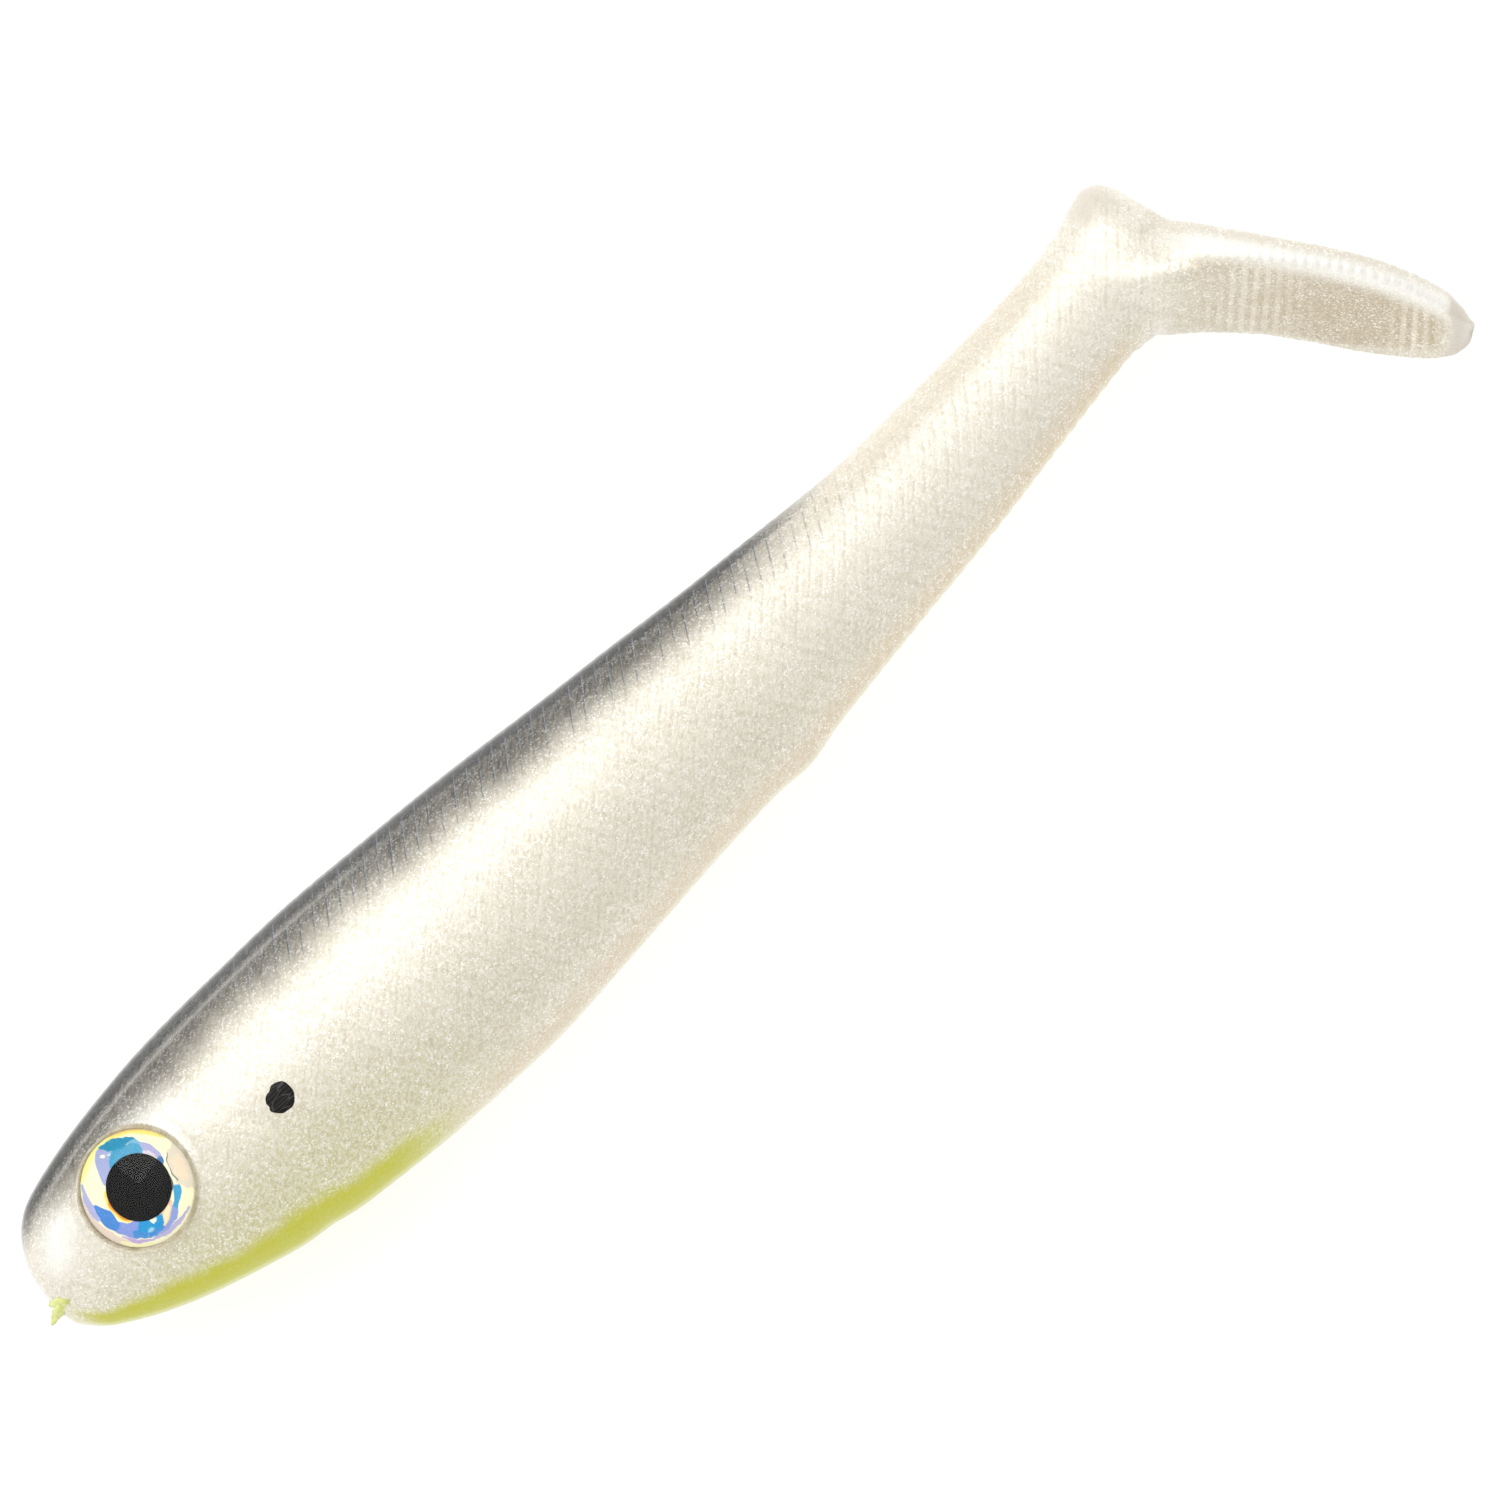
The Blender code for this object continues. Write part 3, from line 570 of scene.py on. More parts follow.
tan_back_shade = smoothstep(3.1, 1.6, back_d) * (1 - on_blade) * smoothstep(80, 96, x) * smoothstep(121, 116, x)

# the blade's hollow face gets painted shade; its ridge gets a painted highlight
position = across / blade_half
blade_face_shade = hollow_face * smoothstep(-0.985, -0.86 + 0.55 * smoothstep(22, 33, s), position) * smoothstep(4.5, 13.0, s)
blade_face_shade = blade_face_shade * (0.6 + 0.4 * smoothstep(10, 22, s))
blade_ridge_highlight = crest
# painted shade on the band above the blade's ridge
blade_top_shade = above * on_blade * smoothstep(2.0, 6.0, s) * smoothstep(-0.25, -0.8, below_rim - ridge_at)
rib_share = np.exp(-(((s - 15.5) / 3.6) ** 2)) + np.exp(-(((s - 29.0) / 2.0) ** 2))
# painted highlight on the snout, and a second painted highlight above the eye (patch)
snout_w = (x - 4.8) * RIGHT[0] + (y - 3.7) * RIGHT[1]
snout_u = (x - 4.8) * UP[0] + (y - 3.7) * UP[1]
snout_highlight = np.exp(-((snout_w / 1.35) ** 2) - (np.abs(snout_u) / 2.9) ** 3)
patch = np.exp(-(((x - 16.6) / 2.6) ** 2) - (((y - 6.2) / 1.9) ** 2))

# ---- meshes -------------------------------------------------------------------------
SPLITS = (
    ("head_skin", -1.0, 24.0),
    ("forebody_skin", 24.0, 48.0),
    ("rear_body_skin", 48.0, 84.0),
    ("tail_stem_skin", 84.0, 108.5),
    ("paddle_skin", 108.5, 999.0),
)


def attribute(mesh, name, values):
    values = np.asarray(values, np.float32)
    kind = "FLOAT_VECTOR" if values.ndim == 2 else "FLOAT"
    made = mesh.attributes.new(name, kind, "POINT")
    made.data.foreach_set("vector" if values.ndim == 2 else "value", values.ravel())


def quad_mesh(name, co, faces):
    mesh = bpy.data.meshes.new(name)
    mesh.vertices.add(len(co))
    mesh.vertices.foreach_set("co", np.asarray(co, np.float32).ravel())
    mesh.loops.add(faces.size)
    mesh.loops.foreach_set("vertex_index", faces.astype(np.int32).ravel())
    mesh.polygons.add(len(faces))
    mesh.polygons.foreach_set("loop_start", np.arange(0, faces.size, 4, dtype=np.int32))
    mesh.update(calc_edges=True)
    mesh.polygons.foreach_set("use_smooth", np.ones(len(faces), bool))
    return mesh


pieces = {}
face_x = surface[quads, 0].mean(1)
masks = {
    "rest_mm": surface,
    "streak": np.stack([
        x * math.cos(math.radians(46)) - y * math.sin(math.radians(46)),
        x * math.sin(math.radians(46)) + y * math.cos(math.radians(46)),
        z,
    ], 1),
    "smoke_edge": smoke_edge,
    "smoke_line": smoke_line,
    "smoke_soft": smoke_soft,
    "strokes": strokes,
    "throat": green,
    "rim_clear": rim_clear,
    "tan_edge_shade": np.maximum(tan_edge_shade, 0.38 * tan_back_shade),
    "blade_top_shade": blade_top_shade,
    "relief": height / 0.08,
    "clear_tip": clear_tip * on_blade,
    "heel_clear": heel,
    "blade": on_blade,
    "phase": phase,
    "second": second,
    "yellowish": yellowish,
    "hem": hem,
    "rib_share": rib_share,
    "snout_highlight": np.maximum(snout_highlight, 0.7 * patch),
    "blade_face_shade": blade_face_shade,
    "blade_ridge_highlight": blade_ridge_highlight,
    "tailward": smoothstep(70, 100, x),
    "belly_way": smoothstep(4.0, -8.0, y),
}
for name, low, high in SPLITS:
    chosen = quads[(face_x >= low) & (face_x < high)]
    used = np.unique(chosen)
    back_to = np.full(len(surface), -1)
    back_to[used] = np.arange(len(used))
    mesh = quad_mesh(name, to_world(shaped[used]), back_to[chosen])
    for key, values in masks.items():
        attribute(mesh, key, values[used])
    mesh.normals_split_custom_set_from_vertices(normals[used].astype(np.float32))
    obj = bpy.data.objects.new(name, mesh)
    bpy.context.scene.collection.objects.link(obj)
    pieces[name] = obj


# ---- shader helpers -------------------------------------------------------------------
def srgb(r, g, b):
    def one(v):
        v /= 255.0
        return v / 12.92 if v <= 0.04045 else ((v + 0.055) / 1.055) ** 2.4

    return (one(r), one(g), one(b), 1.0)


class Tree:
    """Short calls for building a material's nodes."""

    def __init__(self, name):
        self.material = bpy.data.materials.new(name)
        self.material.use_nodes = True
        self.nodes = self.material.node_tree.nodes
        self.links = self.material.node_tree.links
        self.shader = self.nodes.get("Principled BSDF")
        self.output = self.nodes.get("Material Output")

    def put(self, socket, value):
        if isinstance(value, bpy.types.NodeSocket):
            self.links.new(value, socket)
        elif value is not None:
            socket.default_value = value

    def node(self, kind, **inputs):
        made = self.nodes.new(kind)
        for key, value in inputs.items():
            self.put(made.inputs[key.replace("_", " ")], value)
        return made

    def attr(self, name, vector=False):
        made = self.nodes.new("ShaderNodeAttribute")
        made.attribute_name = name
        return made.outputs["Vector" if vector else "Fac"]

    def math(self, kind, a, b=None, c=None, clamp=False):
        made = self.nodes.new("ShaderNodeMath")
        made.operation = kind
        made.use_clamp = clamp
        for i, v in enumerate((a, b, c)):
            self.put(made.inputs[i], v)
        return made.outputs[0]

    def scale(self, vector, by):
        made = self.nodes.new("ShaderNodeVectorMath")
        made.operation = "MULTIPLY"
        self.put(made.inputs[0], vector)
        self.put(made.inputs[1], by)
        return made.outputs[0]

    def noise(self, vector, scale, detail=2.0, rough=0.5, distort=0.0):
        made = self.node("ShaderNodeTexNoise", Vector=vector, Scale=scale, Detail=detail, Roughness=rough, Distortion=distort)
        return made.outputs["Fac"]

    def cells(self, vector, scale, feature="F1"):
        made = self.nodes.new("ShaderNodeTexVoronoi")
        made.feature = feature
        self.put(made.inputs["Vector"], vector)
        self.put(made.inputs["Scale"], scale)
        return made

    def ramp(self, value, *stops):
        made = self.nodes.new("ShaderNodeValToRGB")
        elements = made.color_ramp.elements
        while len(elements) < len(stops):
            elements.new(0.5)
        for element, (at, colour) in zip(elements, stops):
            element.position = at
            element.color = colour if isinstance(colour, tuple) else (colour, colour, colour, 1)
        self.put(made.inputs[0], value)
        return made.outputs["Color"]

    def spread(self, value, low, high, to_low=0.0, to_high=1.0):
        made = self.nodes.new("ShaderNodeMapRange")
        made.interpolation_type = "SMOOTHSTEP"
        for i, v in enumerate((value, low, high, to_low, to_high)):
            self.put(made.inputs[i], v)
        return made.outputs[0]

    def mix(self, share, a, b, kind="MIX"):
        made = self.nodes.new("ShaderNodeMix")
        made.data_type = "RGBA"
        made.blend_type = kind
        made.clamp_factor = True
        self.put(made.inputs[0], share)
        self.put(made.inputs[6], a)
        self.put(made.inputs[7], b)
        return made.outputs[2]

    def bump(self, height, distance, strength=1.0, normal=None):
        made = self.nodes.new("ShaderNodeBump")
        self.put(made.inputs["Strength"], strength)
        self.put(made.inputs["Distance"], distance)
        self.put(made.inputs["Height"], height)
        if normal is not None:
            self.put(made.inputs["Normal"], normal)
        return made.outputs[0]

    def set(self, **inputs):
        for key, value in inputs.items():
            self.put(self.shader.inputs[key.replace("_", " ")], value)
        return self.material


# ---- pearl plastisol ----------------------------------------------------------------------
def line_mask(t, phase, shift, wide, soft):
    """1 on a narrow line that repeats each whole phase."""
    part = t.math("FRACT", t.math("ADD", phase, 0.5 - shift))
    off = t.math("ABSOLUTE", t.math("SUBTRACT", part, 0.5))
    return t.spread(off, wide + soft, wide, 0.0, 1.0)


def pearl_material():
    t = Tree("pearl_plastisol_skin")
    rest, streak = t.attr("rest_mm", True), t.attr("streak", True)
    phase, second = t.attr("phase"), t.attr("second")
    fine = t.noise(t.scale(streak, (2.6, 1.3, 1.6)), 1.7, 3.0, 0.65)
    long = t.noise(t.scale(streak, (3.4, 0.45, 1.0)), 1.2, 3.0, 0.7)
    cloud = t.noise(rest, 0.16, 3.0, 0.55)
    patchy = t.noise(rest, 0.45, 3.0, 0.6)
    grain = t.noise(rest, 6.5, 2.0, 0.6)
    small = t.cells(rest, 7.5)
    small_pick = t.nodes.new("ShaderNodeSeparateColor")
    t.links.new(small.outputs["Color"], small_pick.inputs[0])
    large = t.cells(rest, 3.4)
    large_pick = t.nodes.new("ShaderNodeSeparateColor")
    t.links.new(large.outputs["Color"], large_pick.inputs[0])
    glint = t.math("MULTIPLY", t.spread(small_pick.outputs[0], 0.72, 0.98), t.spread(patchy, 0.3, 0.65, 0.35, 1.0))
    spark = t.math("MULTIPLY", t.spread(large_pick.outputs[0], 0.9, 0.98), t.spread(large.outputs["Distance"], 0.42, 0.15))
    dull = t.spread(small_pick.outputs[1], 0.78, 1.0)
    flaky = t.math("MAXIMUM", glint, spark)

    main_line = line_mask(t, phase, 0.0, 0.05, 0.17)
    half_line = line_mask(t, phase, 0.5, 0.02, 0.10)
    net = t.math("MAXIMUM", main_line, t.math("MULTIPLY", half_line, 0.4))
    net = t.math("MULTIPLY", net, t.spread(t.noise(t.scale(rest, (0.5, 1.0, 1.0)), 0.9, 2.0, 0.6), 0.42, 0.62, 0.05, 1.0))
    cross = line_mask(t, second, 0.0, 0.04, 0.2)

    pearl = t.mix(t.spread(cloud, 0.35, 0.65), srgb(214, 207, 190), srgb(223, 217, 201))
    # lighter towards the tail: painted light that widens the stem's highlight
    pearl = t.mix(t.math("MULTIPLY", t.attr("tailward"), 0.75), pearl, srgb(229, 223, 208))
    pearl = t.mix(t.math("MULTIPLY", t.attr("belly_way"), 0.5), pearl, srgb(208, 199, 174))
    pearl = t.mix(t.math("MULTIPLY", t.attr("yellowish"), 0.85), pearl, srgb(197, 193, 130))
    pearl = t.mix(t.math("MULTIPLY", t.spread(fine, 0.35, 0.72), 0.66), pearl, srgb(238, 234, 222))
    pearl = t.mix(t.math("MULTIPLY", t.spread(fine, 0.5, 0.28), 0.32), pearl, srgb(190, 180, 158))
    pearl = t.mix(t.math("MULTIPLY", net, 0.16), pearl, srgb(176, 164, 140))
    pearl = t.mix(t.math("MULTIPLY", cross, 0.09), pearl, srgb(176, 164, 140))
    # painted shade along the belly edge and the top of the stem
    tan = t.math("MULTIPLY", t.attr("tan_edge_shade"), 0.80)
    colour = t.mix(tan, pearl, srgb(210, 192, 160))
    # painted shade on the band above the blade's ridge
    colour = t.mix(t.math("MULTIPLY", t.attr("blade_top_shade"), 0.75), colour, srgb(212, 203, 186))

    ribs = t.math("MULTIPLY", line_mask(t, phase, 0.0, 0.10, 0.26), t.attr("rib_share"))
    # painted shade on the blade's hollow face, with painted light on its ribs
    face_shade_and_rib_light = t.mix(t.spread(fine, 0.25, 0.75), srgb(172, 154, 122), srgb(194, 179, 150))
    face_shade_and_rib_light = t.mix(t.math("MULTIPLY", ribs, t.spread(patchy, 0.3, 0.6, 0.4, 0.8)), face_shade_and_rib_light, srgb(228, 217, 194))
    colour = t.mix(t.math("MULTIPLY", t.attr("blade_face_shade"), 0.88), colour, face_shade_and_rib_light)
    # painted highlight along the blade's ridge
    colour = t.mix(t.math("MULTIPLY", t.attr("blade_ridge_highlight"), 0.8), colour, srgb(250, 249, 244))
    # painted highlight on the snout and above the eye
    colour = t.mix(t.math("MULTIPLY", t.attr("snout_highlight"), t.spread(long, 0.3, 0.65, 0.55, 1.0)), colour, srgb(252, 251, 245))

    smoke = t.math("MULTIPLY", t.attr("smoke_soft"), t.spread(long, 0.25, 0.75, 1.0, 0.80))
    colour = t.mix(t.math("MULTIPLY", smoke, 0.97), colour, t.mix(t.spread(fine, 0.3, 0.7), srgb(28, 27, 25), srgb(52, 49, 45)))
    colour = t.mix(t.math("MULTIPLY", t.attr("smoke_edge"), t.spread(long, 0.3, 0.7, 0.98, 0.84)), colour, srgb(20, 20, 20))
    colour = t.mix(t.math("MULTIPLY", t.attr("smoke_line"), 0.5), colour, srgb(176, 174, 168))
    strokes = t.attr("strokes")
    # on the back each groove gets a painted shade line and, beside it, a painted highlight line
    stroke_groove_shade = t.math("MULTIPLY", line_mask(t, phase, 0.0, 0.02, 0.06), strokes)
    stroke_groove_highlight = t.math("MULTIPLY", line_mask(t, phase, 0.09, 0.015, 0.05), strokes)
    broken = t.spread(t.noise(rest, 0.9, 3.0, 0.6), 0.36, 0.56)
    colour = t.mix(t.math("MULTIPLY", stroke_groove_shade, t.math("MULTIPLY", broken, 0.55)), colour, srgb(40, 48, 58))
    colour = t.mix(t.math("MULTIPLY", stroke_groove_highlight, t.math("MULTIPLY", broken, 0.32)), colour, srgb(150, 172, 190))
    colour = t.mix(t.math("MULTIPLY", t.attr("throat"), t.spread(fine, 0.2, 0.8, 1.0, 0.95)), colour, srgb(190, 190, 0))
    colour = t.mix(t.math("MULTIPLY", t.attr("rim_clear"), 0.45), colour, srgb(236, 234, 190))
    colour = t.mix(t.math("MULTIPLY", t.attr("hem"), 0.5), colour, srgb(190, 190, 188))
    pale = t.math("MAXIMUM", t.attr("clear_tip"), t.math("MULTIPLY", t.attr("heel_clear"), 0.7))
    colour = t.mix(pale, colour, srgb(209, 200, 186))
    coloured = t.math("MAXIMUM", t.attr("smoke_edge"), t.attr("throat"))
    coloured = t.math("MAXIMUM", coloured, t.math("MAXIMUM", pale, t.math("MULTIPLY", t.attr("smoke_soft"), 0.8)))
    shine = t.math("MULTIPLY", flaky, t.math("SUBTRACT", 1.0, t.math("MULTIPLY", coloured, 0.9)))
    colour = t.mix(t.math("MULTIPLY", shine, 0.8), colour, srgb(255, 253, 245))
    colour = t.mix(t.math("MULTIPLY", dull, 0.12), colour, srgb(150, 140, 118))

    rough = t.math("ADD", t.spread(fine, 0.2, 0.8, 0.46, 0.34), t.math("MULTIPLY", shine, -0.12))
    rough = t.math("ADD", rough, t.math("MULTIPLY", pale, -0.1))
    metal = t.math("MULTIPLY", t.math("SUBTRACT", 1.0, coloured), t.spread(grain, 0.3, 0.7, 0.28, 0.42))
    bump = t.bump(t.math("SUBTRACT", 1.0, net), 0.00003, 0.4)
    bump = t.bump(t.math("SUBTRACT", 1.0, cross), 0.000012, 0.5, bump)
    bump = t.bump(fine, 0.00004, 0.45, bump)
    bump = t.bump(grain, 0.00002, 0.45, bump)
    bump = t.bump(small_pick.outputs[2], 0.000008, 0.4, bump)
    return t.set(
        Base_Color=colour, Roughness=rough, Metallic=metal, Normal=bump,
        Coat_Weight=t.math("MULTIPLY_ADD", t.math("MAXIMUM", t.attr("smoke_soft"), t.math("MULTIPLY", t.attr("throat"), 0.7)), -0.42, 0.5),
        Coat_Roughness=0.14, Coat_IOR=1.45, Specular_IOR_Level=0.45,
    )


PEARL = pearl_material()
for obj in pieces.values():
    obj.data.materials.append(PEARL)

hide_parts("front_clear_skin", "front_back_stripe", "throat_patch")
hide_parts("front_core")
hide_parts("rear_core", "rear_clear_skin", "rear_back_stripe")
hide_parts("stem_core", "stem_clear_skin")
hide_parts("paddle_core", "paddle_clear_skin")


# ---- eyes --------------------------------------------------------------------------------
def disc_points(radii, around):
    turn = np.linspace(0, 2 * np.pi, around, endpoint=False)
    rings = [np.stack([r * np.sin(turn), r * np.cos(turn)], 1) for r in radii]
    return np.concatenate(rings), turn


def ring_faces(rings, around, close=False):
    i, j = np.meshgrid(np.arange(rings - 1), np.arange(around), indexing="ij")
    k = (j + 1) % around
    faces = np.stack([i * around + j, (i + 1) * around + j, (i + 1) * around + k, i * around + k], -1)
    return faces.reshape(-1, 4)


# Patches of the holographic foil, painted in order over the cream ground: a
# colour, then (hour on the clock, inner, outer) as shares of the eye's radius.
FOIL_BASE = (253, 250, 212)
FOIL_PATCHES = (
    ((255, 236, 132), ((10.5, 0.96, 1.02), (11.1, 0.93, 1.02), (12.3, 0.92, 1.02), (12.9, 0.97, 1.02))),
    ((254, 247, 160), ((9.2, 0.97, 1.02), (9.6, 0.90, 1.02), (10.4, 0.93, 1.02), (10.9, 0.97, 1.02))),
    ((244, 206, 128), ((11.0, 0.985, 1.03), (12.4, 0.985, 1.03))),
    ((228, 219, 198), ((1.3, 0.82, 1.03), (1.6, 0.72, 1.03), (2.2, 0.66, 1.03), (2.7, 0.68, 1.03), (2.95, 0.86, 1.03))),
    ((246, 222, 196), ((1.7, 0.76, 0.94), (2.2, 0.72, 0.94), (2.6, 0.78, 0.92))),
    # painted shade along a crease in the foil
    ((98, 92, 80), ((1.35, 0.79, 0.81), (1.6, 0.715, 0.735), (1.9, 0.665, 0.68), (2.3, 0.66, 0.685), (2.62, 0.715, 0.745))),
    # painted highlight on the crease's inner side
    ((255, 253, 240), ((1.3, 0.75, 0.785), (1.6, 0.685, 0.71), (1.9, 0.635, 0.66), (2.3, 0.635, 0.655), (2.6, 0.69, 0.71))),
    ((92, 104, 112), ((1.9, 0.54, 0.59), (2.4, 0.54, 0.635), (2.9, 0.54, 0.65), (3.15, 0.54, 0.62))),
    ((164, 172, 218), ((9.15, 0.54, 0.60), (9.45, 0.54, 0.67), (9.8, 0.54, 0.78), (10.0, 0.54, 0.87), (10.26, 0.54, 0.945), (10.5, 0.58, 0.94), (10.7, 0.66, 0.90), (10.9, 0.72, 0.80))),
    ((116, 178, 214), ((11.6, 0.6, 0.87), (11.85, 0.6, 0.86), (12.05, 0.6, 0.83), (12.3, 0.6, 0.78), (12.45, 0.6, 0.70))),
    ((66, 160, 202), ((10.2, 0.54, 0.61), (10.45, 0.54, 0.69), (10.8, 0.54, 0.78), (11.5, 0.54, 0.77), (11.8, 0.54, 0.78), (12.1, 0.56, 0.74), (12.3, 0.58, 0.66))),
    ((4, 140, 182), ((10.45, 0.93, 0.965), (10.62, 0.86, 0.955), (10.85, 0.77, 0.955), (11.1, 0.75, 0.935), (11.45, 0.74, 0.895), (11.62, 0.80, 0.875), (11.85, 0.84, 0.86))),
    ((255, 251, 226), ((10.26, 0.79, 0.84), (10.36, 0.77, 0.85), (10.46, 0.79, 0.83))),
    ((196, 224, 232), ((10.55, 0.75, 0.78), (10.63, 0.73, 0.79), (10.72, 0.75, 0.78))),
    ((172, 172, 216), ((12.15, 0.70, 0.80), (12.4, 0.64, 0.785), (12.8, 0.62, 0.75), (1.1, 0.62, 0.74), (1.3, 0.60, 0.69))),
    ((220, 210, 226), ((12.3, 0.60, 0.66), (12.6, 0.60, 0.68), (12.95, 0.60, 0.65))),
    ((70, 122, 186), ((1.12, 0.58, 0.66), (1.3, 0.56, 0.70), (1.5, 0.56, 0.68), (1.65, 0.56, 0.60))),
    ((56, 162, 214), ((2.82, 0.66, 0.76), (2.95, 0.64, 0.785), (3.1, 0.64, 0.79), (3.5, 0.66, 0.775), (3.9, 0.69, 0.785), (4.2, 0.74, 0.79))),
    ((140, 160, 220), ((3.85, 0.68, 0.80), (4.2, 0.72, 0.87), (4.5, 0.78, 0.87), (4.9, 0.79, 0.89), (5.3, 0.82, 0.88))),
    ((186, 180, 218), ((3.6, 0.95, 0.985), (4.0, 0.90, 0.97), (4.6, 0.87, 0.95), (5.0, 0.87, 0.94), (5.4, 0.88, 0.92))),
    ((246, 196, 176), ((3.6, 0.60, 0.65), (4.0, 0.60, 0.69), (4.4, 0.60, 0.77), (4.7, 0.66, 0.80), (4.9, 0.76, 0.80))),
    ((254, 232, 186), ((3.9, 0.61, 0.66), (4.3, 0.61, 0.725), (4.6, 0.64, 0.785), (4.78, 0.74, 0.785))),
    ((132, 152, 222), ((5.8, 0.54, 0.86), (6.1, 0.54, 0.87), (6.5, 0.62, 0.84), (7.0, 0.66, 0.85), (7.4, 0.70, 0.87))),
    ((66, 134, 214), ((6.9, 0.68, 0.83), (7.2, 0.64, 0.86), (7.7, 0.62, 0.88), (8.0, 0.70, 0.88), (8.3, 0.80, 0.89))),
    ((176, 180, 224), ((7.7, 0.86, 0.92), (8.1, 0.84, 0.95), (8.5, 0.86, 0.97), (8.9, 0.93, 0.99), (9.1, 0.96, 0.99))),
    ((62, 142, 214), ((4.8, 0.76, 0.82), (5.2, 0.72, 0.855), (5.7, 0.72, 0.87), (6.15, 0.72, 0.84))),
    ((6, 150, 214), ((4.5, 0.60, 0.64), (4.65, 0.58, 0.74), (4.8, 0.58, 0.78), (5.0, 0.62, 0.79), (5.15, 0.68, 0.78), (5.3, 0.56, 0.77), (5.6, 0.54, 0.78), (5.95, 0.54, 0.74))),
    ((236, 246, 236), ((4.9, 0.60, 0.63), (5.02, 0.57, 0.66), (5.14, 0.58, 0.64))),
    ((150, 206, 232), ((5.25, 0.72, 0.77), (5.35, 0.70, 0.79), (5.5, 0.74, 0.78))),
    ((194, 172, 216), ((5.4, 0.88, 0.92), (5.9, 0.88, 0.94), (6.3, 0.86, 0.92), (6.6, 0.86, 0.89))),
    ((232, 214, 200), ((6.3, 0.92, 1.03), (7.0, 0.87, 1.03), (7.8, 0.93, 1.03), (8.6, 0.98, 1.03))),
    ((250, 246, 188), ((5.4, 0.95, 1.0), (6.0, 0.95, 1.0), (6.6, 0.95, 1.0))),
    ((255, 224, 112), ((6.4, 0.54, 0.61), (7.0, 0.54, 0.625), (8.0, 0.54, 0.62), (8.8, 0.54, 0.60))),
    ((230, 140, 20), ((6.3, 0.54, 0.57), (7.0, 0.54, 0.59), (8.0, 0.54, 0.59), (8.6, 0.54, 0.57))),
)


def foil_colours(a, b):
    """Colour of the foil at points a, b (right and up, share of its radius)."""
    wob = 0.007 * waves((a * 19 + b * 8, 1, 0.3), (b * 23 - a * 9, 1, 1.7), (a * 47 + b * 31, 0.6, 0.2))
    radius = np.hypot(a, b) + wob
    hour = (np.arctan2(a, b) / (2 * np.pi) * 12 + 3.0 * wob) % 12
    colour = np.tile(np.array(srgb(*FOIL_BASE)[:3]), (len(a), 1))
    for patch, band in FOIL_PATCHES:
        band = np.array(band, float)
        turns = band[:, 0] + 12 * (band[:, 0] < band[0, 0] - 0.001)
        at = np.where(hour < turns[0] - 1.0, hour + 12, hour)
        low, high = np.interp(at, turns, band[:, 1]), np.interp(at, turns, band[:, 2])
        share = smoothstep(-0.006, 0.008, radius - low) * smoothstep(0.008, -0.006, radius - high)
        share = share * smoothstep(turns[0] - 0.06, turns[0] + 0.04, at) * smoothstep(turns[-1] + 0.06, turns[-1] - 0.04, at)
        share = share[:, None]
        colour = colour * (1 - share) + np.array(srgb(*patch)[:3]) * share
    return colour


def eye_object(name, points, faces, axes, body="front"):
    floor, er, eu, en = axes
    p = floor + points[:, :1] * er + points[:, 1:2] * eu + points[:, 2:3] * en
    if np.dot(np.cross(er, eu), en) < 0:
        faces = [tuple(reversed(f)) for f in faces]
    mesh = bpy.data.meshes.new(name)
    mesh.from_pydata(to_world(p).tolist(), [], [tuple(int(i) for i in f) for f in faces])
    mesh.shade_smooth()
    attribute(mesh, "eye_mm", points)
    obj = bpy.data.objects.new(name, mesh)
    bpy.context.scene.collection.objects.link(obj)
    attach(obj, body)
    return obj


def turned(profile_points, around=96):
    """A closed turned solid from (radius, height) points, axis first and last."""
    turn = np.linspace(0, 2 * np.pi, around, endpoint=False)
    points, faces = [], []
    inner = profile_points[1:-1]
    for r, h in inner:
        points.append(np.stack([r * np.sin(turn), r * np.cos(turn), np.full(around, h)], 1))
    points = np.concatenate(points)
    faces = [tuple(f[::-1]) for f in ring_faces(len(inner), around)]
    first, last = len(points), len(points) + 1
    points = np.concatenate([points, [[0, 0, profile_points[0][1]], [0, 0, profile_points[-1][1]]]])
    base = (len(inner) - 1) * around
    for j in range(around):
        k = (j + 1) % around
        faces.append((first, j, k)[::-1])
        faces.append((last, base + j, base + k))
    return points, faces


def glowing_foil_material():
    t = Tree("holographic_foil_print_with_glow")
    here = t.attr("eye_mm", True)
    own = t.nodes.new("ShaderNodeAttribute")
    own.attribute_name = "foil"
    specks = t.noise(here, 5.0, 3.0, 0.7)
    crinkle = t.cells(t.scale(here, (1.0, 1.6, 1.0)), 1.3, "DISTANCE_TO_EDGE")
    light = t.spread(specks, 0.60, 0.74)
    colour = t.mix(t.math("MULTIPLY", light, 0.3), own.outputs["Color"], (1.0, 1.0, 0.96, 1))
    dark = t.spread(specks, 0.42, 0.28)
    colour = t.mix(t.math("MULTIPLY", dark, 0.14), colour, t.mix(1.0, own.outputs["Color"], srgb(150, 160, 200), "MULTIPLY"))
    bump = t.bump(t.noise(here, 2.2, 2.0, 0.6), 0.00010, 0.5)
    bump = t.bump(crinkle.outputs["Distance"], 0.00004, 0.4, bump)
    # the foil is given a faint glow of its own colour: painted light
    return t.set(
        Base_Color=colour, Roughness=t.spread(specks, 0.3, 0.7, 0.4, 0.28), Normal=bump, Specular_IOR_Level=0.3,
        Emission_Color=colour, Emission_Strength=0.26,
    )


def pupil_material():
    t = Tree("black_pupil_print")
    here = t.attr("eye_mm", True)
    specks = t.noise(here, 7.0, 3.0, 0.75)
    colour = t.mix(t.spread(specks, 0.3, 0.7), srgb(3, 4, 4), srgb(10, 12, 12))
    colour = t.mix(t.math("MULTIPLY", t.spread(specks, 0.72, 0.78), 0.5), colour, srgb(120, 128, 124))
    return t.set(Base_Color=colour, Roughness=t.spread(specks, 0.2, 0.8, 0.5, 0.7), Specular_IOR_Level=0.08,
                 Normal=t.bump(specks, 0.000004, 0.3))


